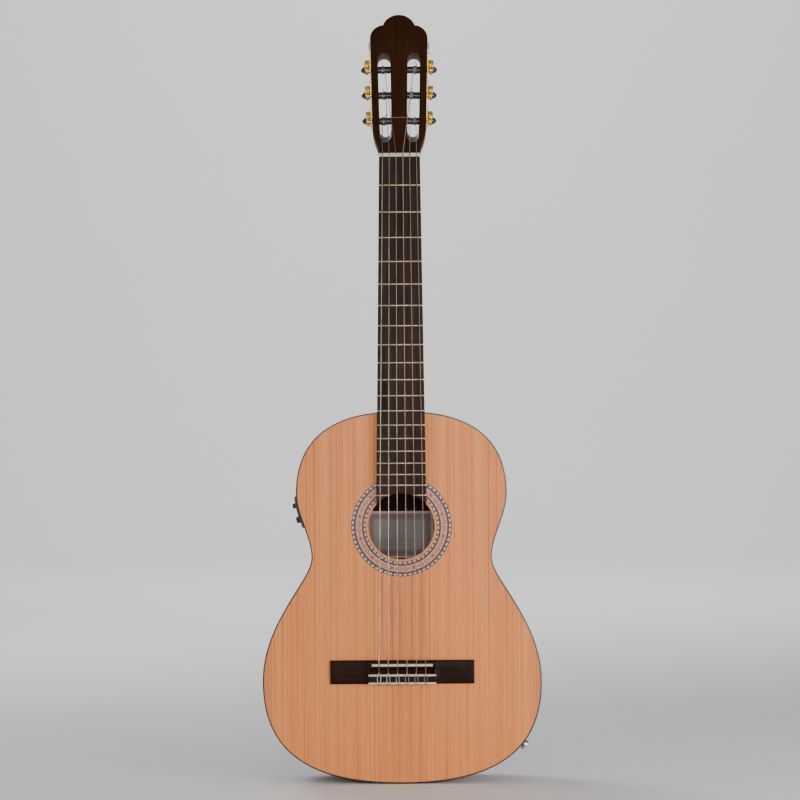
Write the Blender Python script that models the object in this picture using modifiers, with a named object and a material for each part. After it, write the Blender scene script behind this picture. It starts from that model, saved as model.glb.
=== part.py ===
"""A full-size classical guitar with a slotted, geared headstock and a side preamp.

Metres, +Z up. The guitar hangs upright: +Z runs along the strings towards the headstock, -Y is the
side with the strings, and -X is the bass side. The origin is on the centre line, on
the fingerboard's surface, at the nut's edge.
"""

import math

import bmesh
import bpy
from mathutils import Matrix, Vector
from mathutils.geometry import interpolate_bezier

# ---------------------------------------------------------------- driving dimensions
SCALE_LENGTH = 0.650
GAP = 0.0003                    # clearance that every pair of touching pieces keeps

NUT_WIDTH = 0.0525
NUT_THICKNESS = 0.0055
BOARD_THICKNESS = 0.0055
BOARD_END_WIDTH = 0.0640
FRET_COUNT = 19
FRET_WIDTH = 0.0020
FRET_HEIGHT = 0.0010

BODY_LENGTH = 0.4766
BODY_TOP_Z = -0.3260
BUTT_Z = BODY_TOP_Z - BODY_LENGTH
DEPTH_AT_HEEL = 0.094
DEPTH_AT_BUTT = 0.100
TOP_FRONT_Y = BOARD_THICKNESS + GAP   # the soundboard's outer face
PLATE_THICKNESS = 0.0025
SIDE_THICKNESS = 0.0022
BINDING_WIDTH = 0.0017
BINDING_DEPTH = 0.0050
LINING_WIDTH = 0.0060
LINING_DEPTH = 0.0140
OUTLINE_STEPS = 11

SOUNDHOLE_RADIUS = 0.0425
SOUNDHOLE_Z = -0.4730
ROSETTE_INNER = 0.0455
ROSETTE_OUTER = 0.0645
ROSETTE_THICKNESS = 0.0009

BRIDGE_FRONT_Z = -0.6442
BRIDGE_REAR_Z = -0.6746
BRIDGE_WIDTH = 0.1845
TIE_BLOCK_WIDTH = 0.0865
SADDLE_WIDTH = 0.0780
SADDLE_THICKNESS = 0.0030
SADDLE_TOP_Y = -0.0063
TIE_HOLE_Y = 0.0015

STRING_DIAMETERS = (0.00072, 0.00083, 0.00103, 0.00076, 0.00091, 0.00112)   # first string to sixth
SPREAD_AT_NUT = 0.0435
SPREAD_AT_SADDLE = 0.0597
STRING_RISE_AT_NUT = 0.0015     # underside of the strings above the board
STRING_RISE_AT_SADDLE = 0.0065

HEAD_TILT = math.radians(14.0)
HEAD_LENGTH = 0.1878
VENEER_THICKNESS = 0.0017
HEAD_CORE_THICKNESS = 0.0195
HEAD_ORIGIN = Vector((0.0, 0.0035, NUT_THICKNESS + GAP))

ROLLER_PITCH = 0.035
MIDDLE_ROLLER_ALONG = 0.0803
ROLLER_DEPTH = 0.0105           # below the face of the veneer
ROLLER_RADIUS = 0.0049
SIDE_PLATE_THICKNESS = 0.0012
GEAR_TEETH = 14
GEAR_OUT = 0.0052               # middle of the gear outside the head's side
GEAR_WIDTH = 0.0032
WORM_LEAD = 0.00255
WORM_OFFSET = 0.0083            # from the roller's axis, towards the tip

MM = 0.001
STAGGER = 0.1 * MM              # keeps two joined faces out of one plane


# ---------------------------------------------------------------- collections and materials
for leftover in list(bpy.data.objects):
    bpy.data.objects.remove(leftover, do_unlink=True)

guitar = bpy.data.collections.new("classical_guitar")
cutters = bpy.data.collections.new("cutters")
for group in (guitar, cutters):
    bpy.context.scene.collection.children.link(group)


def make_material(name, colour, roughness, metallic=0.0):
    material = bpy.data.materials.new(name)
    material.use_nodes = True
    shader = material.node_tree.nodes["Principled BSDF"]
    shader.inputs["Base Color"].default_value = (*colour, 1.0)
    shader.inputs["Roughness"].default_value = roughness
    shader.inputs["Metallic"].default_value = metallic
    return material


CEDAR = make_material("cedar", (0.58, 0.29, 0.15), 0.35)
SPRUCE = make_material("spruce", (0.62, 0.44, 0.26), 0.6)
MAHOGANY = make_material("mahogany", (0.25, 0.08, 0.04), 0.35)
ROSEWOOD = make_material("rosewood", (0.035, 0.016, 0.011), 0.4)
BLACK_WOOD = make_material("black_wood", (0.012, 0.009, 0.008), 0.35)
ROSETTE_WOOD = make_material("rosette_wood", (0.30, 0.14, 0.10), 0.4)
BONE = make_material("bone", (0.72, 0.66, 0.52), 0.4)
ROLLER_PLASTIC = make_material("roller_plastic", (0.02, 0.02, 0.022), 0.35)
GOLD_BRASS = make_material("gold_brass", (0.78, 0.52, 0.20), 0.25, 1.0)
BLACK_PLASTIC = make_material("black_plastic", (0.01, 0.01, 0.011), 0.2)
GREY_PLASTIC = make_material("grey_plastic", (0.05, 0.05, 0.055), 0.45)
CHROME = make_material("chrome", (0.75, 0.75, 0.76), 0.12, 1.0)
NYLON = make_material("nylon", (0.62, 0.60, 0.56), 0.25)
SILVER_WOUND = make_material("silver_wound", (0.60, 0.60, 0.60), 0.3, 1.0)


# ---------------------------------------------------------------- modelling helpers
def finish_object(item, material, parent=None):
    """Gives an object its material, puts it with the guitar's parts and parents it in place."""
    item.data.materials.clear()
    item.data.materials.append(material)
    for group in list(item.users_collection):
        group.objects.unlink(item)
    guitar.objects.link(item)
    item.parent = parent
    return item


def mesh_object(name, body, material, parent=None, smooth=False):
    """An object from a bmesh whose faces are first turned outwards."""
    bmesh.ops.recalc_face_normals(body, faces=body.faces)
    mesh = bpy.data.meshes.new(name)
    body.to_mesh(mesh)
    body.free()
    if smooth:
        mesh.shade_smooth()
        mesh.set_sharp_from_angle(angle=math.radians(35))
    item = bpy.data.objects.new(name, mesh)
    return finish_object(item, material, parent)


def curve_to_mesh(item):
    """Replaces a curve object by the closed mesh it draws, in the same place."""
    bpy.context.view_layer.update()
    evaluated = item.evaluated_get(bpy.context.evaluated_depsgraph_get())
    mesh = bpy.data.meshes.new_from_object(evaluated)
    body = bmesh.new()
    body.from_mesh(mesh)
    bmesh.ops.remove_doubles(body, verts=body.verts, dist=1e-7)
    bmesh.ops.recalc_face_normals(body, faces=body.faces)
    body.to_mesh(mesh)
    body.free()
    solid = bpy.data.objects.new(item.name, mesh)
    name = item.name
    place = item.matrix_world.copy()
    bpy.data.objects.remove(item, do_unlink=True)
    solid.name = name
    solid.matrix_world = place
    return solid


def flat_piece(name, loops, low, high, material, parent=None, axis="Y"):
    """A prism on an outline. Its outline lies in X-Z and it spans low to high along Y, or, with
    axis "X", its outline lies in Z-Y and it spans low to high along X."""
    curve = bpy.data.curves.new(name, "CURVE")
    curve.dimensions = "2D"
    curve.fill_mode = "BOTH"
    curve.extrude = (high - low) / 2
    for loop in loops:
        spline = curve.splines.new("POLY")
        spline.points.add(len(loop) - 1)
        for point, (a, b) in zip(spline.points, loop):
            point.co = (a, b, 0.0, 1.0)
        spline.use_cyclic_u = True
    item = bpy.data.objects.new(name, curve)
    middle = (low + high) / 2
    if axis == "Y":
        turn = Matrix(((1, 0, 0), (0, 0, -1), (0, 1, 0)))
        place = Matrix.Translation((0, middle, 0)) @ turn.to_4x4()
    else:
        turn = Matrix(((0, 0, -1), (0, 1, 0), (1, 0, 0)))
        place = Matrix.Translation((middle, 0, 0)) @ turn.to_4x4()
    item.matrix_world = place
    guitar.objects.link(item)
    solid = curve_to_mesh(item)
    return finish_object(solid, material, parent)


def box(name, low, high, material, parent=None):
    """A box primitive between two corners."""
    body = bmesh.new()
    bmesh.ops.create_cube(body, size=1.0)
    size = Vector(high) - Vector(low)
    bmesh.ops.scale(body, vec=size, verts=body.verts)
    bmesh.ops.translate(body, vec=(Vector(low) + Vector(high)) / 2, verts=body.verts)
    return mesh_object(name, body, material, parent)


def rod(name, start, end, radius, material, parent=None, sides=16):
    """A cylinder primitive between two points."""
    start = Vector(start)
    end = Vector(end)
    along = end - start
    body = bmesh.new()
    bmesh.ops.create_cone(
        body,
        cap_ends=True,
        segments=sides,
        radius1=radius,
        radius2=radius,
        depth=along.length,
    )
    turn = along.to_track_quat("Z", "Y").to_matrix().to_4x4()
    bmesh.ops.transform(body, matrix=Matrix.Translation((start + end) / 2) @ turn, verts=body.verts)
    return mesh_object(name, body, material, parent)


def turned(name, profile, material, parent=None, place=None, steps=20):
    """A turned shape: a profile of (radius, height) points turned about its local Z."""
    mesh = bpy.data.meshes.new(name)
    points = [(radius, 0.0, height) for radius, height in profile]
    edges = [(index, index + 1) for index in range(len(points) - 1)]
    mesh.from_pydata(points, edges, [])
    item = bpy.data.objects.new(name, mesh)
    turn = item.modifiers.new("turn", "SCREW")
    turn.angle = math.tau
    turn.steps = steps
    turn.render_steps = steps
    turn.use_merge_vertices = True
    turn.merge_threshold = 1e-6
    finish_object(item, material, parent)
    if place is not None:
        item.matrix_local = place
    return item


def operand(item):
    """Moves a cutter or a piece to be joined out of the guitar and draws it as wire."""
    guitar.objects.unlink(item)
    cutters.objects.link(item)
    item.hide_render = True
    item.display_type = "WIRE"
    return item


def combine(target, item, operation):
    operand(item)
    step = target.modifiers.new(operation.lower(), "BOOLEAN")
    step.operation = operation
    step.solver = "EXACT"
    step.object = item
    return target


def cut(target, item):
    return combine(target, item, "DIFFERENCE")


def join(target, item):
    return combine(target, item, "UNION")


def empty(name, location=(0, 0, 0), rotation=(0, 0, 0), parent=None):
    marker = bpy.data.objects.new(name, None)
    guitar.objects.link(marker)
    marker.parent = parent
    marker.location = location
    marker.rotation_euler = rotation
    bpy.context.view_layer.update()
    return marker


# ---------------------------------------------------------------- body outline
# Knots of half the body's outline: (half width, height above the butt, handle in, handle out).
LOWER_BOUT = (0.1789, 0.1310)
WAIST = (0.1156, 0.2895)
UPPER_BOUT = (0.1352, 0.3715)
OUTLINE_KNOTS = (
    ((0.0, 0.0), (0.0, 0.0), (0.1130, 0.0)),
    (LOWER_BOUT, (0.0, -0.0950), (0.0, 0.0770)),
    (WAIST, (0.0, -0.0290), (0.0, 0.0270)),
    (UPPER_BOUT, (0.0, -0.0275), (0.0, 0.1050)),
    ((0.0, BODY_LENGTH), (0.0340, 0.0), (0.0, 0.0)),
)


def half_outline(inset):
    """Points (x, z) of the treble half of the outline, butt to heel, moved inwards by inset."""
    points = []
    for (start, _, handle_out), (end, handle_in, _) in zip(OUTLINE_KNOTS, OUTLINE_KNOTS[1:]):
        start = Vector(start)
        end = Vector(end)
        span = interpolate_bezier(
            start,
            start + Vector(handle_out),
            end + Vector(handle_in),
            end,
            OUTLINE_STEPS,
        )
        points += [Vector(p[:2]) for p in span[:-1]]
    points.append(Vector((0.0, BODY_LENGTH)))
    moved = []
    for index, point in enumerate(points):
        if index in (0, len(points) - 1):
            inward = Vector((0.0, 1.0 if index == 0 else -1.0))
        else:
            along = (points[index + 1] - points[index - 1]).normalized()
            inward = Vector((-along.y, along.x))
        shifted = point + inward * inset
        moved.append((shifted.x, shifted.y + BUTT_Z))
    return moved


def full_outline(inset):
    half = half_outline(inset)
    return half + [(-x, z) for x, z in reversed(half[1:-1])]


def half_outline_beyond(inset, start_x, end_x):
    """The treble half without its ends: from x = start_x at the butt to x = end_x at the heel."""
    half = half_outline(inset)
    kept = [(x, z) for x, z in half if x > start_x + MM and (z < SOUNDHOLE_Z or x > end_x + MM)]
    beyond = next((x, z) for x, z in half if z > SOUNDHOLE_Z and x <= end_x + MM)
    last = kept[-1]
    share = (last[0] - end_x) / (last[0] - beyond[0])
    end_z = last[1] + (beyond[1] - last[1]) * share
    return [(start_x, half[0][1]), *kept, (end_x, end_z)]


def back_y(z):
    """The outer face of the back, which slopes from the heel's depth to the butt's."""
    share = (BODY_TOP_Z - z) / BODY_LENGTH
    return TOP_FRONT_Y + DEPTH_AT_HEEL + (DEPTH_AT_BUTT - DEPTH_AT_HEEL) * share


def lean_on_back(item, front_offset=None, back_offset=0.0):
    """Moves a prism's rear end, and its front end when asked, to planes parallel to the back."""
    place = item.matrix_world
    inverse = place.inverted()
    world = [place @ vertex.co for vertex in item.data.vertices]
    middle = (min(p.y for p in world) + max(p.y for p in world)) / 2
    for vertex, point in zip(item.data.vertices, world):
        if point.y > middle:
            point.y = back_y(point.z) - back_offset
        elif front_offset is not None:
            point.y = back_y(point.z) - front_offset
        vertex.co = inverse @ point
    return item


def circle_loop(radius, centre=(0.0, 0.0), count=36):
    turns = [math.tau * step / count for step in range(count)]
    return [(centre[0] + radius * math.cos(a), centre[1] + radius * math.sin(a)) for a in turns]


# ---------------------------------------------------------------- the box
TOP_INSET = BINDING_WIDTH + GAP
TOP_BACK_Y = TOP_FRONT_Y + PLATE_THICKNESS
LINING_INSET = SIDE_THICKNESS + GAP
HEEL_SLOT = 0.0095              # half the gap between the sides at the heel
FOOT_HALF_WIDTH = 0.030
FOOT_LENGTH = 0.036


def make_soundboard():
    top = flat_piece("soundboard", [full_outline(TOP_INSET)], TOP_FRONT_Y, TOP_BACK_Y, CEDAR)
    centre = (0.0, SOUNDHOLE_Z)
    hole = circle_loop(SOUNDHOLE_RADIUS, centre)
    cut(top, flat_piece("soundhole_cutter", [hole], TOP_FRONT_Y - MM, TOP_BACK_Y + MM, CEDAR))
    groove = [circle_loop(ROSETTE_INNER - GAP, centre), circle_loop(ROSETTE_OUTER + GAP, centre)]
    floor = TOP_FRONT_Y + ROSETTE_THICKNESS + GAP
    cut(top, flat_piece("rosette_groove_cutter", groove, TOP_FRONT_Y - MM, floor, CEDAR))
    ring = [circle_loop(ROSETTE_INNER, centre), circle_loop(ROSETTE_OUTER, centre)]
    flat_piece("rosette", ring, TOP_FRONT_Y, TOP_FRONT_Y + ROSETTE_THICKNESS, ROSETTE_WOOD)


def make_back():
    back = flat_piece("back", [full_outline(TOP_INSET)], 0.09, 0.10, MAHOGANY)
    lean_on_back(back, PLATE_THICKNESS, 0.0)


def make_bindings():
    ring = [full_outline(0.0), full_outline(BINDING_WIDTH)]
    flat_piece("top_binding", ring, TOP_FRONT_Y, TOP_FRONT_Y + BINDING_DEPTH, BLACK_WOOD)
    rear = flat_piece("back_binding", ring, 0.09, 0.10, BLACK_WOOD)
    lean_on_back(rear, BINDING_DEPTH, 0.0)


def make_side(name, side):
    """One bent side. It stops at the butt's centre line and in the heel's slot."""
    outer = half_outline_beyond(0.0, GAP / 2, HEEL_SLOT)
    inner = half_outline_beyond(SIDE_THICKNESS, GAP / 2, HEEL_SLOT)
    loop = [(x * side, z) for x, z in outer + inner[::-1]]
    strip = flat_piece(name, [loop], TOP_FRONT_Y + BINDING_DEPTH + GAP, 0.09, MAHOGANY)
    return lean_on_back(strip, None, BINDING_DEPTH + GAP)


def lining_loop():
    """A ring that is open at the neck's foot."""
    opening = FOOT_HALF_WIDTH + 2 * GAP
    outer = half_outline_beyond(LINING_INSET, 0.0, opening)
    inner = half_outline_beyond(LINING_INSET + LINING_WIDTH, 0.0, opening)
    outer_ring = [(-x, z) for x, z in reversed(outer[1:])] + outer
    inner_ring = [(-x, z) for x, z in reversed(inner[1:])] + inner
    return outer_ring + inner_ring[::-1]


def make_linings():
    front = TOP_BACK_Y + GAP
    flat_piece("top_lining", [lining_loop()], front, front + LINING_DEPTH, SPRUCE)
    rear = flat_piece("back_lining", [lining_loop()], 0.07, 0.09, SPRUCE)
    inside = PLATE_THICKNESS + GAP
    lean_on_back(rear, inside + LINING_DEPTH, inside)


def make_tail_block():
    half_width = 0.042
    height = 0.022
    edge = [(x, z) for x, z in half_outline(LINING_INSET) if x < half_width and z < BUTT_Z + height]
    loop = [(-x, z) for x, z in reversed(edge[1:])] + edge
    loop += [(half_width, BUTT_Z + height), (-half_width, BUTT_Z + height)]
    front = TOP_BACK_Y + LINING_DEPTH + 2 * GAP
    block = flat_piece("tail_block", [loop], front, 0.09, MAHOGANY)
    lean_on_back(block, None, PLATE_THICKNESS + LINING_DEPTH + 2 * GAP)


def strut(name, start, end, low, high, width):
    """A straight bar between two (x, z) points, low to high along Y."""
    start = Vector(start)
    end = Vector(end)
    across = (end - start).normalized().orthogonal() * width / 2
    corners = (start + across, start - across, end - across, end + across)
    return flat_piece(name, [[tuple(c) for c in corners]], low, high, SPRUCE)


def make_soundboard_bracing():
    """Two cross bars, the struts beside the soundhole, and a fan below it, glued into one frame."""
    front = TOP_BACK_Y + GAP
    upper_z = -0.4180
    lower_z = -0.5290
    bar_width = 0.006
    bar_depth = 0.015
    upper_reach = 0.118
    lower_reach = 0.103
    lower_start = (-lower_reach, lower_z)
    lower_end = (lower_reach, lower_z)
    frame = strut("soundboard_bracing", lower_start, lower_end, front, front + bar_depth, bar_width)
    upper_start = (-upper_reach, upper_z)
    upper_end = (upper_reach, upper_z)
    upper_back = front + bar_depth - STAGGER
    join(frame, strut("upper_bar", upper_start, upper_end, front, upper_back, bar_width))
    for side in (-1, 1):
        x = side * 0.056
        start = (x, upper_z + MM)
        end = (x, lower_z - MM)
        join(frame, strut("hole_strut", start, end, front + STAGGER / 10, front + 0.004, 0.010))
    fan_end_z = -0.748
    for index in range(-3, 4):
        start = (index * 0.024, lower_z + MM)
        end = (index * 0.036, fan_end_z + abs(index) * 0.008)
        join(frame, strut("fan_strut", start, end, front + STAGGER / 5, front + 0.005, bar_width))


def make_back_bracing():
    """A centre strip with three cross bars over it."""
    strip = flat_piece(
        "back_bracing",
        [[(-0.010, -0.372), (0.010, -0.372), (0.010, -0.770), (-0.010, -0.770)]],
        0.08,
        0.09,
        SPRUCE,
    )
    inside = PLATE_THICKNESS + GAP
    lean_on_back(strip, inside + 0.003, inside)
    for z, half_width in ((-0.430, 0.118), (-0.560, 0.112), (-0.680, 0.160)):
        bar = strut("back_bar", (-half_width, z), (half_width, z), 0.07, 0.09, 0.007)
        lean_on_back(bar, inside + 0.014, inside + STAGGER / 10)
        join(strip, bar)


# ---------------------------------------------------------------- neck, heel and fingerboard
HEEL_START_Z = -0.262
HEEL_FULL_Z = -0.309
HEEL_TIP_HALF_WIDTH = 0.0125
HEEL_CAP_THICKNESS = 0.0025
HEEL_BACK_Y = TOP_FRONT_Y + DEPTH_AT_HEEL
NECK_SIDES = 16
BOARD_FULL_WIDTH_Z = SOUNDHOLE_Z + 0.028      # where the board reaches its full width


def board_half_width(z):
    share = z / BOARD_FULL_WIDTH_Z
    return NUT_WIDTH / 2 + (BOARD_END_WIDTH - NUT_WIDTH) / 2 * max(share, 0.0)


def neck_section(z, depth, squareness, taper):
    """Half a rounded section behind the board; taper narrows its deep part into the heel."""
    half_width = board_half_width(z)
    ring = []
    for step in range(NECK_SIDES + 1):
        angle = math.pi * step / NECK_SIDES
        across = math.copysign(abs(math.cos(angle)) ** (2 / squareness), math.cos(angle))
        down = depth * abs(math.sin(angle)) ** (2 / squareness)
        heel_width = HEEL_TIP_HALF_WIDTH + (half_width - HEEL_TIP_HALF_WIDTH) * math.exp(-down / 0.024)
        width = half_width * (1 - taper) + heel_width * taper
        ring.append((across * width, TOP_FRONT_Y + down, z))
    return ring


def neck_sections():
    """Sections from the head's end of the shaft to inside the body."""
    sections = [
        neck_section(0.010, 0.0210, 6.0, 0.0),
        neck_section(0.000, 0.0190, 5.0, 0.0),
        neck_section(-0.010, 0.0175, 3.4, 0.0),
        neck_section(-0.022, 0.0166, 2.5, 0.0),
        neck_section(-0.040, 0.0163, 2.2, 0.0),
        neck_section(-0.150, 0.0172, 2.2, 0.0),
        neck_section(HEEL_START_Z, 0.0184, 2.2, 0.0),
    ]
    for share in (0.30, 0.48, 0.62, 0.74, 0.84, 0.91, 0.96, 0.988, 1.0):
        z = HEEL_START_Z + (HEEL_FULL_Z - HEEL_START_Z) * share
        drop = 1 - math.sqrt(1 - share ** 2.4)
        sections.append(neck_section(z, 0.0184 + 0.150 * drop, 2.2, min(1.0, share ** 2)))
    sections.append(neck_section(BODY_TOP_Z - 0.008, 0.1684, 2.2, 1.0))
    return sections


def neck_loft():
    """A closed loft through the neck's sections."""
    body = bmesh.new()
    rings = [[body.verts.new(point) for point in section] for section in neck_sections()]
    for first, second in zip(rings, rings[1:]):
        count = len(first)
        for index in range(count):
            following = (index + 1) % count
            body.faces.new((first[index], first[following], second[following], second[index]))
    body.faces.new(rings[0])
    body.faces.new(rings[-1])
    bmesh.ops.recalc_face_normals(body, faces=body.faces)
    return body


def slice_off(body, point, outward):
    """Removes what lies beyond a plane and closes the cut."""
    everything = body.verts[:] + body.edges[:] + body.faces[:]
    cut_result = bmesh.ops.bisect_plane(
        body, geom=everything, plane_co=point, plane_no=outward, clear_outer=True, dist=1e-7
    )
    edges = [item for item in cut_result["geom_cut"] if isinstance(item, bmesh.types.BMEdge)]
    bmesh.ops.holes_fill(body, edges=edges, sides=0)


def body_shape(name, inset, front, back):
    return flat_piece(name, [full_outline(inset)], front, back, MAHOGANY)


def make_neck():
    """Shaft and heel in one piece, with a web through the sides and a foot inside the body."""
    cap_front = HEEL_BACK_Y - HEEL_CAP_THICKNESS
    body = neck_loft()
    head_direction = Vector((0.0, math.sin(HEAD_TILT), math.cos(HEAD_TILT)))
    slice_off(body, HEAD_ORIGIN - head_direction * GAP, head_direction)
    slice_off(body, Vector((0.0, cap_front - GAP, 0.0)), Vector((0.0, 1.0, 0.0)))
    neck = mesh_object("neck", body, MAHOGANY, smooth=True)
    cut(neck, body_shape("neck_body_cutter", -GAP, 0.0, 0.12))
    web_front = TOP_FRONT_Y + BINDING_DEPTH + 3 * GAP
    web_back = HEEL_BACK_Y - BINDING_DEPTH - 3 * GAP
    web_half = HEEL_SLOT - GAP
    inside_z = BODY_TOP_Z - SIDE_THICKNESS - 3 * GAP
    web_low = (-web_half, web_front, inside_z - 3 * MM)
    web_high = (web_half, web_back, BODY_TOP_Z + MM)
    join(neck, box("web", web_low, web_high, MAHOGANY))
    foot_front = TOP_BACK_Y + GAP
    foot_back = HEEL_BACK_Y - PLATE_THICKNESS - GAP
    low = (-FOOT_HALF_WIDTH, foot_front, inside_z - FOOT_LENGTH)
    join(neck, box("foot", low, (FOOT_HALF_WIDTH, foot_back, inside_z - 1.5 * MM), MAHOGANY))


def make_heel_cap():
    body = neck_loft()
    slice_off(body, Vector((0.0, HEEL_BACK_Y, 0.0)), Vector((0.0, 1.0, 0.0)))
    slice_off(body, Vector((0.0, HEEL_BACK_Y - HEEL_CAP_THICKNESS, 0.0)), Vector((0.0, -1.0, 0.0)))
    cap = mesh_object("heel_cap", body, BLACK_WOOD)
    cut(cap, body_shape("heel_cap_cutter", -GAP, 0.05, 0.12))


def fret_z(number):
    return -SCALE_LENGTH * (1 - 2 ** (-number / 12))


def make_fingerboard():
    """A side profile with its frets, drawn out across the board and trimmed to the board's plan."""
    end_z = SOUNDHOLE_Z + 0.020
    profile = [(-GAP, 0.0)]
    for number in range(1, FRET_COUNT + 1):
        middle = fret_z(number)
        profile.append((middle + FRET_WIDTH / 2, 0.0))
        profile.append((middle + FRET_WIDTH / 4, -FRET_HEIGHT))
        profile.append((middle - FRET_WIDTH / 4, -FRET_HEIGHT))
        profile.append((middle - FRET_WIDTH / 2, 0.0))
    profile += [(end_z, 0.0), (end_z, BOARD_THICKNESS), (-GAP, BOARD_THICKNESS)]
    reach = 0.040
    board = flat_piece("fingerboard", [profile], -reach, reach, ROSEWOOD, axis="X")
    far_x = reach + 12 * MM
    far_z = SOUNDHOLE_Z + 10 * MM
    for side in (-1, 1):
        top = (side * board_half_width(0.0), MM)
        bottom = (side * board_half_width(far_z), far_z)
        loop = [top, bottom, (side * far_x, far_z), (side * far_x, MM)]
        cut(board, flat_piece("board_side_cutter", [loop], -0.005, 0.010, ROSEWOOD))
    hole = circle_loop(SOUNDHOLE_RADIUS, (0.0, SOUNDHOLE_Z))
    cut(board, flat_piece("board_end_cutter", [hole], -0.005, 0.010, ROSEWOOD))


def make_nut():
    """A plain bar with a rounded top that the strings pass over."""
    under_strings = 0.2 * MM
    front_ease = 0.4 * MM
    rear_slope = 1.2 * MM
    base_ease = 0.3 * MM
    top = -STRING_RISE_AT_NUT + under_strings
    foot_z = NUT_THICKNESS - 1.0 * MM
    profile = [
        (0.0, BOARD_THICKNESS),
        (0.0, top + front_ease),
        (front_ease, top),
        (foot_z - rear_slope, top),
        (foot_z, top + 1.0 * MM),
        (foot_z, BOARD_THICKNESS - 1.0 * MM),
        (foot_z - base_ease, BOARD_THICKNESS),
    ]
    half = NUT_WIDTH / 2
    flat_piece("nut", [profile], -half, half, BONE, axis="X")


# ---------------------------------------------------------------- bridge
def string_offset(number, spread):
    """Where string 1 to 6 lies across; the first is on the treble side."""
    return spread / 2 - (number - 1) * spread / 5


def make_bridge():
    """Thin wings, a saddle block and a tie block with a channel between them."""
    base = TOP_FRONT_Y - GAP
    wing_top = TOP_FRONT_Y - 0.0038
    half = BRIDGE_WIDTH / 2
    front_z = BRIDGE_FRONT_Z - 0.0004
    rear_z = BRIDGE_REAR_Z + 0.0004
    wing_loop = [(-half, front_z), (half, front_z), (half, rear_z), (-half, rear_z)]
    bridge = flat_piece("bridge", [wing_loop], wing_top, base - 0.0001, BLACK_WOOD)
    round_edges(bridge, 0.0012)
    block_top = TOP_FRONT_Y - 0.0085
    channel = TOP_FRONT_Y - 0.0034
    tie_top = TOP_FRONT_Y - 0.0081
    rebate = tie_top + 0.0012
    ledge = 0.0025
    tie_front = BRIDGE_REAR_Z + 0.0126
    profile = [
        (BRIDGE_FRONT_Z, base),
        (BRIDGE_FRONT_Z, TOP_FRONT_Y - 0.0060),
        (BRIDGE_FRONT_Z - 0.0028, block_top),
        (BRIDGE_FRONT_Z - 0.0100, block_top),
        (BRIDGE_FRONT_Z - 0.0128, channel),
        (tie_front, channel),
        (tie_front, tie_top),
        (BRIDGE_REAR_Z, tie_top),
        (BRIDGE_REAR_Z, base),
    ]
    block_half = TIE_BLOCK_WIDTH / 2
    join(bridge, flat_piece("bridge_block", [profile], -block_half, block_half, BLACK_WOOD, axis="X"))
    slot_half = SADDLE_WIDTH / 2 + GAP
    slot_depth = SADDLE_THICKNESS / 2 + GAP
    slot_low = (-slot_half, block_top - MM, -SCALE_LENGTH - slot_depth)
    slot_high = (slot_half, TOP_FRONT_Y - 0.0028, -SCALE_LENGTH + slot_depth)
    cut(bridge, box("saddle_slot_cutter", slot_low, slot_high, BLACK_WOOD))
    for number in range(1, 7):
        x = string_offset(number, SPREAD_AT_SADDLE)
        front = (x, TIE_HOLE_Y, tie_front + MM)
        rear = (x, TIE_HOLE_Y, BRIDGE_REAR_Z - MM)
        cut(bridge, rod("tie_hole_cutter", front, rear, 0.0011, BLACK_WOOD, sides=8))
    for low_z, high_z in ((tie_front - ledge, tie_front + MM), (BRIDGE_REAR_Z - MM, BRIDGE_REAR_Z + ledge)):
        low = (-block_half - MM, tie_top - MM, low_z)
        cut(bridge, box("strip_rebate_cutter", low, (block_half + MM, rebate, high_z), BLACK_WOOD))
    strip_top = tie_top - 0.0002
    strip_base = rebate - GAP
    strip = ledge - GAP
    strip_places = (("tie_block_strip_front", tie_front - strip), ("tie_block_strip_rear", BRIDGE_REAR_Z))
    for name, low_z in strip_places:
        low = (-block_half, strip_top, low_z)
        box(name, low, (block_half, strip_base, low_z + strip), BONE)


def round_edges(item, width, segments=2):
    bevel = item.modifiers.new("edges", "BEVEL")
    bevel.width = width
    bevel.segments = segments
    bevel.limit_method = "ANGLE"
    bevel.angle_limit = math.radians(50)
    return item


def make_saddle():
    half = SADDLE_WIDTH / 2
    low = (-half, SADDLE_TOP_Y, -SCALE_LENGTH - SADDLE_THICKNESS / 2)
    high = (half, TOP_FRONT_Y - 0.0031, -SCALE_LENGTH + SADDLE_THICKNESS / 2)
    round_edges(box("saddle", low, high, BONE), 0.0008)


# ---------------------------------------------------------------- headstock
head = empty("head_frame", HEAD_ORIGIN, (-HEAD_TILT, 0.0, 0.0))
SHOULDER_ALONG = 0.1552
SHOULDER_HALF_WIDTH = 0.0373
SHOULDER_RADIUS = 0.0185
CROWN_RADIUS = 0.0221
WAIST_ALONG = 0.0352
WAIST_HALF_WIDTH = 0.0346
SLOT_END = 0.1345
SLOT_THROUGH = 0.0293
RAMP_START = 0.0136
SIDE_SLOPE = math.atan2(SHOULDER_HALF_WIDTH - WAIST_HALF_WIDTH, SHOULDER_ALONG - WAIST_ALONG)


def head_half_width(along):
    return WAIST_HALF_WIDTH + (along - WAIST_ALONG) * math.tan(SIDE_SLOPE)


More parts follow.
